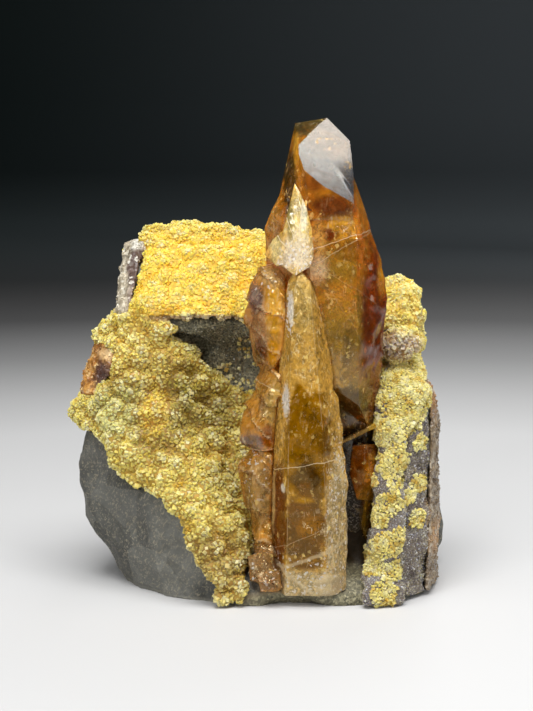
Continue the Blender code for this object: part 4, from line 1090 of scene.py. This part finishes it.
# Finishes of the barite's crystals: base colour, clearness, absorption, tint of the shine, how broken the
# inside looks and how pale the edges are, partly wear and partly painted highlight.  Patches are (middle,
# reach, colour, frost, broken, edge).  Sparkles, painted white glints on small chips, are (middle, reach,
# share).
# Seams, healed cracks that show as fine lines, are (place, facing, width, strength).
BARITE_FINISHES = {
    "barite_main": {
        "base": (0.62, 0.25, 0.015), "clear": 0.62, "density": 120, "tint": (1, 0.92, 0.8),
        "broken": 0.4, "pale": 0.5,
        "patches": (
            ((14.5, -14, 60), (6.4, 8, 20), (0.5, 0.285, 0.028), 0.08, 0.4, 0.25),
            ((15, -14, 45), (5.5, 8, 8), (0.74, 0.45, 0.08), 0.14, 0.5, 0.4),
            ((24, -8, 60), (3.6, 9, 19.5), (0.28, 0.055, 0.001), 0.05, 0.12, 0.3),
            ((25.6, -5, 71), (1.2, 9, 4), (0.95, 0.42, 0.02), 0.05, 0.3, 0.5),
            ((10.5, -12, 92), (2.6, 5, 2.4), (0.26, 0.09, 0.012), 0.07, 0.2, 0.5),
            ((14.5, -13, 87), (5.4, 5, 2.6), (0.16, 0.05, 0.01), 0.07, 0.3, 0.5),
            ((17, -14, 82), (4, 6, 2.4), (0.98, 0.5, 0.04), 0.07, 0.9, 0.5),
            ((13.2, -14, 80.8), (2, 6, 1.4), (0.18, 0.04, 0.004), 0.07, 0.3, 0.4),
            ((5.2, -6, 92), (1.6, 9, 8), (0.07, 0.045, 0.006), 0.06, 0.5, 0.3),
            ((6.6, -4, 98), (0.8, 5, 6), (0.9, 0.5, 0.05), 0.06, 0.8, 0.4),
            ((10.5, -2, 103.6), (6, 6, 2.6), (0.12, 0.08, 0.015), 0.06, 0.9, 0.3),
            ((0.6, -7, 83), (2.6, 8, 5), (0.8, 0.38, 0.06), 0.08, 0.5, 0.4),
            ((11, -14, 79), (1.8, 6, 4.5), (0.84, 0.5, 0.1), 0.1, 1, 0.6),
            ((3.4, -12, 76), (4.4, 6, 4), (0.94, 0.7, 0.32), 0.2, 1.2, 0.6),
            ((10.6, -15, 73.4), (2.6, 6, 2.8), (0.9, 0.68, 0.32), 0.2, 1.1, 0.6),
            ((16.5, -10, 43.5), (6, 9, 4.6), (0.16, 0.085, 0.008), 0.07, 0.3, 0.15),
            # Painted shade: this patch and the one two lines down paint the dark hollow behind the broken
            # front.
            ((19, -8, 30), (9, 9, 9.5), (0.008, 0.003, 0.001), 0.1, 0.3, 0.3),
            ((19, -6, 10), (9, 9, 8), (0.1, 0.065, 0.02), 0.5, 1.2, 0.3),
            ((19, -6, 21), (9, 9, 7), (0.006, 0.003, 0.001), 0.55, 0.3, 0.3)),
        "sparkles": (),
        "seams": (
            ((14, -14, 79), (-0.32, 0.1, 0.95), 0.15, 0.8),
            ((14, -14, 76.5), (-0.5, 0.1, 0.86), 0.13, 0.5),
            ((21, -13, 68), (0.5, 0.2, 0.86), 0.09, 0.3),
            ((19, -13, 60), (0.85, 0.3, 0.55), 0.07, 0.25))},
    "barite_blade": {
        "base": (0.78, 0.46, 0.08), "clear": 0.35, "density": 25, "tint": (1, 0.95, 0.85),
        "broken": 0.8, "pale": 0.5,
        "patches": (
            ((6.9, -14, 82), (2.2, 8, 8.5), (0.76, 0.55, 0.155), 0.1, 0.8, 0.4),
            ((6.4, -15, 75.5), (3.4, 8, 5), (0.8, 0.64, 0.4), 0.3, 1.3, 0.5),
            ((1.8, -11, 77.6), (1.7, 8, 2.6), (0.96, 0.76, 0.3), 0.15, 1, 0.5),
            ((8, -15, 84.5), (0.7, 8, 3.5), (0.98, 0.88, 0.58), 0.1, 0.9, 0.4),
            ((6, -16, 72.4), (2, 6, 1.8), (0.72, 0.46, 0.13), 0.1, 0.8, 0.6),
            ((-0.4, -9, 76), (1.4, 6, 2), (0.8, 0.44, 0.1), 0.1, 0.8, 0.6),
            ((5.2, -14, 84), (0.7, 8, 4), (0.34, 0.25, 0.04), 0.1, 0.5, 0.4)),
        "sparkles": (((6.6, -15, 75), (4, 8, 5), 0.16),),
        "seams": (
            ((6.6, -15, 75.5), (0.75, 0, 0.66), 0.2, 0.9),
            ((6.6, -15, 75.5), (-0.6, 0, 0.8), 0.2, 0.9),
            ((6.6, -15, 75.5), (0.98, 0, -0.1), 0.18, 0.8),
            ((6.6, -15, 78), (0.9, 0, 0.3), 0.14, 0.7))},
    "barite_column": {
        "base": (0.6, 0.33, 0.05), "clear": 0.45, "density": 60, "tint": (1, 0.78, 0.36),
        "broken": 0.9, "pale": 0.22,
        "patches": (
            ((7.6, -18, 66), (3, 8, 6), (0.52, 0.33, 0.075), 0.08, 0.8, 0.4),
            # Painted highlight: a bright white strip on the column's upper left edge.
            ((5.2, -17, 65), (0.6, 9, 3.2), (1, 0.92, 0.74), 0.15, 1, 0.4),
            ((8.6, -20, 35), (5.6, 9, 14), (0.31, 0.135, 0.001), 0.05, 0.22, 0.12),
            ((8.8, -20, 29), (3.6, 9, 3.4), (0.09, 0.036, 0.001), 0.05, 0.15, 0.25),
            ((8.6, -20, 17.5), (5.2, 9, 9.5), (0.18, 0.06, 0), 0.05, 0.22, 0.15),
            ((8, -20, 24.4), (2, 9, 0.6), (0.5, 0.24, 0.006), 0.05, 0.9, 0.8),
            ((9.4, -20, 18.5), (2.6, 9, 2.6), (0.26, 0.1, 0.001), 0.05, 0.9, 0.7),
            ((9, -20, 11.4), (2.4, 9, 1), (0.42, 0.19, 0.006), 0.05, 0.9, 0.8),
            ((15.6, -20, 16), (3, 9, 19), (0.48, 0.33, 0.125), 0.24, 1.5, 0.2),
            ((2.6, -20, 20), (1.7, 9, 12), (0.18, 0.045, 0.001), 0.05, 0.25, 0.25),
            ((1, -18, 24), (0.9, 9, 10), (0.66, 0.42, 0.14), 0.12, 0.7, 0.3),
            ((2.6, -18, 46), (1.8, 9, 13), (0.66, 0.38, 0.07), 0.08, 1.2, 0.4),
            ((4.2, -20, 45.6), (0.6, 9, 2.8), (1, 0.95, 0.82), 0.15, 1, 0.5),
            ((3.6, -20, 26.6), (0.4, 9, 0.9), (1, 0.95, 0.82), 0.15, 1, 0.5),
            ((9, -22, 4.6), (10, 6, 4), (0.56, 0.4, 0.165), 0.25, 1.5, 0.25),
            ((13.4, -22, 4.8), (3.2, 8, 2.8), (0.86, 0.66, 0.36), 0.2, 0.3, 0.08)),
        "sparkles": (((4.2, -20, 45.6), (0.8, 9, 3.6), 0.4), ((16, -20, 18), (3, 9, 19), 0.1),
                     ((7, -20, 7), (8, 9, 5), 0.1), ((5, -18, 64), (0.8, 9, 5), 0.3)),
        "seams": (
            ((8, -20, 31.5), (-0.16, 0.1, 1), 0.14, 0.6),
            ((8, -20, 11), (-0.35, 0, 0.93), 0.6, 0.45),
            ((3, -20, 9), (0.62, 0, 0.78), 0.7, 0.5),
            ((10, -20, 17), (-0.45, 0, 0.9), 0.09, 0.3))},
    "barite_scallops": {
        "base": (0.76, 0.35, 0.045), "clear": 0.6, "density": 80, "tint": (1, 0.84, 0.52),
        "broken": 0.35, "pale": 0.6,
        "patches": (
            ((-2, -12, 60), (2.6, 9, 9), (0.6, 0.31, 0.11), 0.08, 0.24, 0.5),
            # Painted glints: bright orange.
            ((1.6, -14, 66), (1.6, 8, 8), (0.98, 0.5, 0.03), 0.08, 0.48, 0.5),
            ((1.6, -13, 72), (3.2, 8, 2.2), (0.92, 0.62, 0.22), 0.12, 0.66, 0.5),
            # Painted reflection: a purple-grey mirror patch.
            ((-2.4, -13, 67), (1.6, 8, 3), (0.34, 0.23, 0.18), 0.05, 0.06, 0.4),
            ((-1.4, -14, 55), (1.4, 8, 3), (0.2, 0.06, 0.005), 0.05, 0.18, 0.4),
            ((1.4, -16, 56), (1, 8, 3.6), (1, 0.46, 0.01), 0.05, 0.3, 0.5),
            ((1.8, -16, 43), (2.4, 8, 6), (0.74, 0.47, 0.1), 0.08, 0.6, 0.4),
            # Painted reflection: the purple-grey facet at the middle lobe's foot.
            ((-3, -15, 35.4), (3, 8, 2), (0.28, 0.2, 0.16), 0.05, 0.06, 0.3),
            ((0.4, -16, 37), (1.4, 8, 3), (0.36, 0.11, 0.004), 0.05, 0.12, 0.4),
            ((-2, -16, 25), (3, 8, 7), (0.6, 0.34, 0.09), 0.07, 0.42, 0.4),
            ((-1.6, -21, 8.6), (1.5, 8, 1.4), (0.66, 0.66, 0.7), 0.04, 0.06, 0.4),
            ((1.6, -18, 18), (1, 8, 8), (0.5, 0.19, 0.02), 0.08, 0.24, 0.4),
            ((-1, -18, 8), (5, 8, 5), (0.4, 0.22, 0.08), 0.1, 0.54, 0.4)),
        "sparkles": (((-2.8, -17, 28), (3.2, 9, 5), 0.07), ((-2.4, -16, 32), (3, 9, 1.6), 0.14),
                     ((-1, -14, 71), (4, 9, 3), 0.08), ((-1.4, -20, 8), (4, 9, 4), 0.06)),
        "seams": (
            ((-4, -12, 33.4), (-0.15, 0, 1), 0.25, 0.8),
            ((0, -12, 48), (0.3, 0, 1), 0.15, 0.5))},
    "barite_amber_lobes": {
        "base": (0.24, 0.055, 0.001), "clear": 0.65, "density": 120, "tint": (1, 0.72, 0.26),
        "broken": 0.3, "pale": 0.3,
        "patches": (
            # Painted highlight: the upper lobe's bright orange middle.
            ((23.6, -9, 28), (2, 8, 3.4), (1, 0.36, 0.006), 0.05, 0.4, 0.6),
            ((22.4, -9, 23.4), (2.4, 8, 2.4), (0.46, 0.19, 0.004), 0.05, 0.4, 0.5),
            ((23, -9, 17), (3, 8, 5), (0.52, 0.27, 0.015), 0.06, 0.4, 0.4),
            ((20, -12, 36.6), (5, 8, 2), (0.3, 0.15, 0.02), 0.08, 0.8, 0.4),
            ((23.8, -9, 38.6), (1.4, 8, 1.8), (1, 0.62, 0.05), 0.05, 1, 0.4)),
        "sparkles": (),
        "seams": ()},
}


# The tip's mirror face carries a painted reflection whose tones run up and to the right, and painted shadow
# in its lower right corner.
TIP_REFLECTION_ALONG, TIP_REFLECTION_SPAN = (0.5, 0.0, 0.86), (0.082, 0.097)       # metres along that way
TIP_REFLECTION_TONES = ((0.0, (0.12, 0.06, 0.03)), (0.14, (0.06, 0.09, 0.11)), (0.45, (0.10, 0.17, 0.21)),
             (1.0, (0.20, 0.18, 0.16)))
TIP_DRIFT = 0.008            # metres that the tones wander
TIP_FROST = 0.11
TIP_SHADOW = (0.06, 0.08, 0.085)
TIP_SHADOW_HEIGHTS = (0.091, 0.099)
TIP_GOLD_GLINTS = (((12.9, -8, 100.4), (2.2, 5, 1.4)), ((17.7, -9, 95.7), (1.4, 5, 1.0)))
CORNER_START = (14, -9, 96.2)
CORNER_RIGHT, CORNER_DOWN = (0.83, 0.0, 0.56), (0.35, 0.0, -0.94)
CORNER_SAG = -4300.0         # how fast the corner curves down, away from the light

CLEAR_FROST = 0.05           # roughness where no patch says otherwise
FINE_CRACKS = ((0.7, (1, 1, 0.14)), (0.6, (0.5, 1, 0.4)), (0.5, (1, 1, 1)))   # width (mm) and stretch
GOLD, PALE_GOLD, WHITE_GOLD = (1.0, 0.74, 0.24), (1.0, 0.84, 0.50), (1.0, 0.93, 0.82)
SUGAR, WORN_EDGE_AND_HIGHLIGHT, HEALED = (1.0, 0.90, 0.70), (0.98, 0.80, 0.48), (0.98, 0.82, 0.52)


def seam(finish, place, facing, width):
    """A fine line where a plane through a place meets the surface."""
    along = finish.along(Vector(facing).normalized(), place)
    wander = finish.times(finish.centred(finish.grain(5, 4, 0.6)), 1.6 * MM)
    away = finish.sum(finish.sum(along, wander), 0.0, "ABSOLUTE")
    return finish.between(away, 0.3 * width * MM, width * MM, 1.0, 0.0)


def painted_mirror_reflection(finish, colour, face, drift):
    """The large polished face at the tip: a painted reflection in cool tones, painted shadow in a corner
    and a few painted gold glints.
    """
    up_right = finish.sum(finish.along(TIP_REFLECTION_ALONG), finish.times(finish.centred(drift), TIP_DRIFT))
    tone = finish.ramp(finish.between(up_right, *TIP_REFLECTION_SPAN), *TIP_REFLECTION_TONES)
    shadow = finish.times(finish.between(finish.along(CORNER_RIGHT, CORNER_START), -0.3 * MM, 0.8 * MM),
                          finish.between(finish.height(), *TIP_SHADOW_HEIGHTS, 1.0, 0.0))
    colour = finish.blend(face, colour, finish.blend(shadow, tone, TIP_SHADOW))
    near = finish.sum(*(finish.patch(middle, reach, 0.3) for middle, reach in TIP_GOLD_GLINTS))
    # Painted glints: small gold spots on the face.
    spots = finish.times(finish.times(face, near), finish.between(finish.grain(0.9, 3, 0.6), 0.56, 0.60))
    return finish.blend(spots, colour, (1.0, 0.66, 0.20))


def mirror_sag(finish, face):
    """The mirror face's lower right corner curves away, so that it mirrors the dark."""
    down = finish.sum(finish.along(CORNER_DOWN, CORNER_START), 0.0, "MAXIMUM")
    right = finish.between(finish.along(CORNER_RIGHT, CORNER_START), -0.2 * MM, 0.9 * MM)
    return finish.times(finish.times(finish.times(finish.times(down, down), CORNER_SAG), face), right)


def inner_tones(finish, colour, rough, broken, small, large, drift, streaks):
    """Lighter and darker shards, streaks and clouds in a crystal, and pale sugar where it is frosted."""
    tone = finish.times(finish.centred(small["Tone"]), 0.30)
    grainy = finish.between(streaks, 0.32, 0.68, -0.18, 0.55)
    tone = finish.sum(finish.times(finish.sum(tone, grainy), broken),
                      finish.times(finish.centred(large["Tone"]), 0.4))
    tone = finish.sum(tone, finish.times(finish.centred(drift), 2.0))
    darkest = finish.between(rough, 0.08, 0.20, 0.50, 0.74)
    colour = finish.vector("MULTIPLY", colour, finish.sum(finish.sum(tone, 0.86), darkest, "MAXIMUM"))
    sugar = finish.times(finish.between(finish.grain(0.45, 3, 0.6, 0.5), 0.53, 0.66),
                         finish.between(rough, 0.12, 0.24))
    return finish.blend(finish.times(sugar, 0.8), colour, SUGAR)


def cracks_and_glints(finish, colour, broken, small):
    """Fine gold cracks, and painted gold glints, in the broken parts, in clusters."""
    where = finish.between(finish.grain(2.6, 5, 0.65, 0.6), 0.44, 0.60)
    for width, stretch in FINE_CRACKS:
        fine = finish.grain(width, 4, 0.55, 0.8, finish.stretched(stretch))
        line = finish.times(finish.between(fine, 0.585, 0.67), finish.times(where, broken))
        colour = finish.blend(finish.times(line, 0.85), colour, PALE_GOLD)
    # Painted glints: the brightest small shards turn gold.
    glint = finish.times(finish.between(small["Tone"], 0.90, 0.94),
                         finish.times(where, finish.between(broken, 0.0, 0.5)))
    return finish.blend(glint, colour, GOLD)


def barite_finish(name):
    """Clear to cloudy amber, plainly transparent, with broken and frosted patches, seams, painted glints
    and highlights, and a painted reflection.
    """
    recipe = BARITE_FINISHES[name]
    finish = Finish(name, {"IOR": BARITE_IOR, "Transmission Weight": recipe["clear"],
                           "Specular Tint": (*recipe["tint"], 1.0)})
    small = finish.shards(0.6, 0.9, (1, 1, 0.7))
    large = finish.shards(3.6, 2.6, (1, 1, 0.4))
    drift = finish.grain(4.0, 6, 0.66, 1.2)
    streaks = finish.grain(0.9, 3, 0.55, 1.2, finish.stretched((1, 1, 0.85)))
    colour, traits = recipe["base"], (CLEAR_FROST, recipe["broken"], 0.0)
    for middle, reach, tint, frost, broken, edge in recipe["patches"]:
        mask = finish.patch(middle, reach, edge, 0.9, 2.2)
        colour = finish.blend(mask, colour, tint)
        traits = finish.blend(mask, traits, (frost, broken, 0.0))
    face = finish.attribute("mirror")
    colour = painted_mirror_reflection(finish, colour, face, drift)
    rough, broken, _ = finish.parts(finish.blend(face, traits, (TIP_FROST, 0.0, 0.0)))
    colour = inner_tones(finish, colour, rough, broken, small, large, drift, streaks)
    colour = cracks_and_glints(finish, colour, broken, small)
    # Painted glints: white sparkles in the listed patches.
    for middle, reach, share in recipe["sparkles"]:
        chosen = finish.between(finish.parts(finish.cells(0.48))[1], 1.0 - share, 1.01 - share)
        chosen = finish.times(chosen, finish.patch(middle, reach, 0.4, 0.8, 2))
        colour = finish.blend(chosen, colour, WHITE_GOLD)
    # Painted highlight: marked edges are paled, partly as wear and partly as painted edge highlight.
    lit = finish.between(drift, 0.44, 0.56, 0.1 * recipe["pale"], recipe["pale"])
    colour = finish.blend(finish.times(finish.attribute("edge"), lit), colour, WORN_EDGE_AND_HIGHLIGHT)
    for place, facing, width, strength in recipe["seams"]:
        line = finish.times(seam(finish, place, facing, width), strength)
        colour = finish.blend(line, colour, HEALED)
        rough = finish.sum(rough, finish.times(line, 0.3))
    finish.set("Base Color", colour)
    finish.set("Roughness", finish.sum(rough, finish.times(broken, 0.06)))
    lean = finish.bump(large["Lean"], 1.0, finish.times(broken, 0.12))
    lean = finish.bump(small["Lean"], 1.0, finish.times(broken, 0.22), lean)
    lean = finish.bump(streaks, 0.10, finish.times(broken, 0.35), lean)
    finish.set("Normal", finish.bump(mirror_sag(finish, face), 1.0, 1.0, lean))
    finish.absorb(AMBER_LIGHT, recipe["density"])
    return finish


# Free edges that wander in and out a little: the crystal, and the x and z (mm) from which they do.
WAVY_EDGES = {"barite_column": (12, 2), "barite_main": (20, 46)}
NO_WAVES = (99, 0)           # from far outside the part
WAVES_FADE = (3, 4)          # mm, along x and z, over which they grow to their full size


def free_edge(name, place):
    """How freely a crystal's right edge wanders at a place: 0 not at all, 1 fully."""
    x, _, z = unsurvey(place)
    least_x, least_z = WAVY_EDGES.get(name, NO_WAVES)
    return clamped((x - least_x) / WAVES_FADE[0]) * clamped((z - least_z) / WAVES_FADE[1])


PLATE_PITCH, PLATE_STEP = 6.4, 0.8       # mm: the curved plates of the lobes, each over the next
PLATE_EDGE = 0.09                        # share of a plate, at its lower edge, that is paled, partly as wear and partly as painted highlight
FREE_FROM = 1.2                          # mm: nearer to a neighbour than this the relief fades out


def make_scallops(rooms):
    """The lobes down the crystal's left side and the small crystals at its foot, grown together."""
    shapes = (UPPER_LOBE, MIDDLE_LOBE, LOWER_LOBE, *LOBE_BRIDGES, *FOOT_CRYSTALS)
    lobes = [hull("lobe", points) for points in shapes]
    scallops = combine(lobes[0], lobes[1:], "UNION")
    scallops.name = "barite_scallops"
    walls = [surface_tree(room) for room in rooms]
    combine(scallops, rooms, "DIFFERENCE")
    fuse_to_voxels(scallops, 0.42)

    def plate(place):
        """How far up its curved plate a place is: 0 at the lower edge, 1 at the top."""
        x, _, z = unsurvey(place)
        return (z + 0.7 * x + 2.6 * lumps(place, 6.0, 66, 2)) / PLATE_PITCH % 1.0

    def scalloped(place, normal):
        height = PLATE_STEP * (1.0 - plate(place)) ** 1.5 - 0.25
        height = height + 0.35 * lumps(place, 3.4, 67) + 0.1 * lumps(place, 1.2, 68)
        free = min(min(wall.find_nearest(place)[3] for wall in walls) / (FREE_FROM * MM), 1.0)
        return normal * height * free * MM

    reshape(scallops, scalloped)
    mark = scallops.data.attributes.new("edge", "FLOAT", "POINT")
    mark.data.foreach_set("value", [float(plate(vert.co) < PLATE_EDGE) for vert in scallops.data.vertices])
    return scallops


CHAMFER, MAIN_CHAMFER = 0.10, 0.05       # mm
WEAR, MAIN_WEAR = 0.10, 0.03             # mm: how far worn faces rise and fall
WANDER = 0.6                             # mm: how far a free edge wanders


def make_barite():
    """The clear crystals: each is cut to fit the ones before it, chamfered, worn and finished."""
    column = hull("barite_column", corners(COLUMN))
    cut_facet(column, FOOT_FACET)
    blade = hull("barite_blade", FRONT_BLADE)
    combine(blade, [hull("foot", BLADE_FOOT)], "UNION")
    main = hull("barite_main", corners(SHAFT))
    combine(main, [hull("broken", BROKEN_FRONT)], "DIFFERENCE")
    combine(main, [hull("tip", TIP), hull("shoulder", SHOULDER)], "UNION")
    amber = hull("barite_amber_lobes", UPPER_AMBER_LOBE)
    combine(amber, [hull("amber", LOWER_AMBER_LOBE), hull("film", GOLD_FILM)], "UNION")
    rock = node_copy("mudstone_matrix", "rock_room")
    made = []
    for piece in (column, blade, main, amber):
        rooms = [grown_copy(other, CRYSTAL_GAP) for other in made]
        combine(piece, [*rooms, copy_of(rock, "room")], "DIFFERENCE")
        made.append(piece)
    scallops = make_scallops([grown_copy(other, CRYSTAL_GAP) for other in made] + [rock])
    pieces = (*made, scallops)
    for number, piece in enumerate(pieces):
        if piece is not scallops:
            chamfer(piece, MAIN_CHAMFER if piece is main else CHAMFER)
            refine(piece, 1.2)
            seed = 61 + number
            height = MAIN_WEAR if piece is main else WEAR

            def worn(place, normal):
                wander = WANDER * lumps(place, 4.5, 91) * free_edge(piece.name, place)
                return normal * MM * (place.z < TIP_FROM) * (height * lumps(place, 3.0, seed) + wander)

            reshape(piece, worn)
        shade(piece, 25)
        if piece is main:
            crisp_border(piece, "mirror")
        wear(piece, barite_finish(piece.name))
        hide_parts("golden_barite")
    return pieces


FLAKE_SPACING = 2.2                      # mm
FLAKE_DEPTHS = {"barite_main": 1.4, "barite_column": 1.4}   # mm: how deep flakes lie, at most
OTHER_FLAKE_DEPTH = 0.9
FLAKE_SIZES = (0.15, 0.75, 0.3)          # mm: smallest, largest and usual
FLAKE_THICKNESS = 0.02


def make_flakes(pieces):
    """Thin gold-lit cracks inside the clear crystals: small closed plates that catch the light."""
    rng = random.Random(71)
    finish = Finish("golden_flakes", {"Metallic": 1.0, "Roughness": 0.3})
    finish.set("Base Color", finish.ramp(
        finish.grain(2, 3, 0.6), (0.35, (0.9, 0.40, 0.05)), (0.6, (1.0, 0.66, 0.2)),
        (0.75, (1.0, 0.85, 0.5))))
    placings = []
    for piece in pieces:
        depth = FLAKE_DEPTHS.get(piece.name, OTHER_FLAKE_DEPTH)
        spots = scatter(piece, FLAKE_SPACING, lambda place, normal: normal.y < 0.1, rng)
        for place, normal in spots:
            if lumps(place, 6.0, 72, 2) < 0.05:
                continue
            middle = place - normal * rng.uniform(0.5, depth) * MM
            facing = leaning(normal, 0.35, rng)
            size = rng.triangular(*FLAKE_SIZES) * MM
            placings.append(standing(middle, facing, rng.uniform(0, math.tau),
                                     (size * 1.6, size, FLAKE_THICKNESS * MM)))
    plate = bmesh.new()
    bmesh.ops.create_cone(plate, cap_ends=True, segments=5, radius1=1.0, radius2=0.8, depth=1.0)
    wear(repeated("barite_inner_flakes", plate, placings), finish)


# ---------------------------------------------------------------- stage, light and camera
# Outline of the floor and the bowl: how far out and how high, in metres.
BOWL = ((0.0, 0.0), (1.0, 0.0), (2.0, 0.0), (2.35, 0.08), (2.6, 0.35), (2.7, 0.8), (2.7, 2.2))
# Painted pool of light on the floor, fading outwards: how far out, in metres, and how pale.
FLOOR_LIGHT_FALLOFF = ((0.0, 0.585), (0.20, 0.57), (0.27, 0.465), (0.37, 0.265), (0.50, 0.080), (0.69, 0.020),
               (1.0, 0.012))


def make_stage():
    """A pale floor with a painted pool of light that fades outwards, running up into a bowl whose wall has
    painted light, paler on the right.
    """
    bm = bmesh.new()
    line = [bm.verts.new((x, 0.0, z)) for x, z in BOWL]
    edges = [bm.edges.new(pair) for pair in zip(line, line[1:])]
    bmesh.ops.spin(bm, geom=line + edges, axis=(0, 0, 1), cent=(0, 0, 0), steps=96, angle=math.tau,
                   use_merge=True)
    bmesh.ops.remove_doubles(bm, verts=bm.verts, dist=0.0005)
    stage = new_object("floor", bm)
    for polygon in stage.data.polygons:
        polygon.use_smooth = True
    finish = Finish("floor", {"Roughness": 0.65})
    away = finish.vector("LENGTH", finish.place)
    tone = finish.ramp(away, *FLOOR_LIGHT_FALLOFF)
    across = finish.between(finish.along((1.0, 0.0, 0.0)), -0.5, 0.6)
    # Painted light: the bowl's wall is paler on the right.
    wall = finish.ramp(across, (0.0, (0.022, 0.042, 0.040)), (1.0, (0.30, 0.34, 0.37)))
    finish.set("Base Color", finish.blend(finish.between(away, 0.55, 1.2), tone, wall))
    stage.data.materials.append(finish.material)


def aim(obj, place, target):
    obj.location = place
    obj.rotation_euler = (Vector(target) - Vector(place)).to_track_quat("-Z", "Y").to_euler()


def softbox(name, place, target, width, height, watts):
    """A rectangle of light that the camera doesn't see."""
    light = bpy.data.lights.new(name, "AREA")
    light.shape = "RECTANGLE"
    light.size = width
    light.size_y = height
    light.energy = watts
    obj = link(name, light)
    aim(obj, place, target)
    obj.visible_camera = False


# Soft lights: place, target, width, height (metres) and watts.
LIGHTS = {
    "key_softbox": ((0.02, -0.177, 0.66), (0, -0.06, 0), 0.52, 0.35, 5.3),
    "front_softbox": ((-0.14, -0.52, 0.62), (0, 0, 0.05), 0.44, 0.28, 1.6),
    "left_softbox": ((-0.65, -0.25, 0.35), (0, 0, 0.05), 0.35, 0.5, 0.7),
    "right_softbox": ((0.62, -0.1, 0.38), (0, 0, 0.05), 0.3, 0.5, 1),
    "back_softbox": ((0.25, 0.65, 0.4), (0, 0, 0.06), 0.4, 0.4, 1.3),
    "left_glint": ((-0.42, -0.52, 0.34), (0, 0, 0.05), 0.06, 0.06, 0.7),
    "right_glint": ((0.4, -0.58, 0.22), (0, 0, 0.05), 0.06, 0.06, 0.6),
    "low_glint": ((-0.24, -0.9, 0.26), (0, 0, 0.05), 0.08, 0.08, 0.6),
}
WORLD_STRENGTH = 0.15


def make_lights():
    for name, settings in LIGHTS.items():
        softbox(name, *settings)
    world = bpy.data.worlds.new("studio")
    world.use_nodes = True
    world.node_tree.nodes["Background"].inputs["Color"].default_value = (0.5, 0.5, 0.5, 1)
    world.node_tree.nodes["Background"].inputs["Strength"].default_value = WORLD_STRENGTH
    bpy.context.scene.world = world


CAMERA_PLACE, CAMERA_TARGET = (0, -439.7, 114.4), (0, 0, 52.6)
CAMERA_LENS, CAMERA_SENSOR = 100.0, 36.0     # mm


def make_camera():
    data = bpy.data.cameras.new("camera")
    data.lens = CAMERA_LENS
    data.sensor_width = CAMERA_SENSOR
    data.clip_start = 0.02
    camera = link("camera", data)
    aim(camera, survey(CAMERA_PLACE), survey(CAMERA_TARGET))
    bpy.context.scene.camera = camera


# ---------------------------------------------------------------- build
make_camera()
make_stage()
make_lights()
bpy.context.scene.view_settings.view_transform = "Standard"
rock_shape = surface_tree(bpy.data.objects["mudstone_matrix"])
barite_shape = surface_tree(bpy.data.objects["golden_barite"])
rock_piece = make_rock()
crystals_made = make_barite()
make_flakes(crystals_made)
make_recess_crystals(rock_piece)
for druse in DRUSES:
    make_druse(druse, rock_shape, barite_shape)
make_wing_druse(rock_shape, barite_shape)
make_brown_rims(rock_shape)
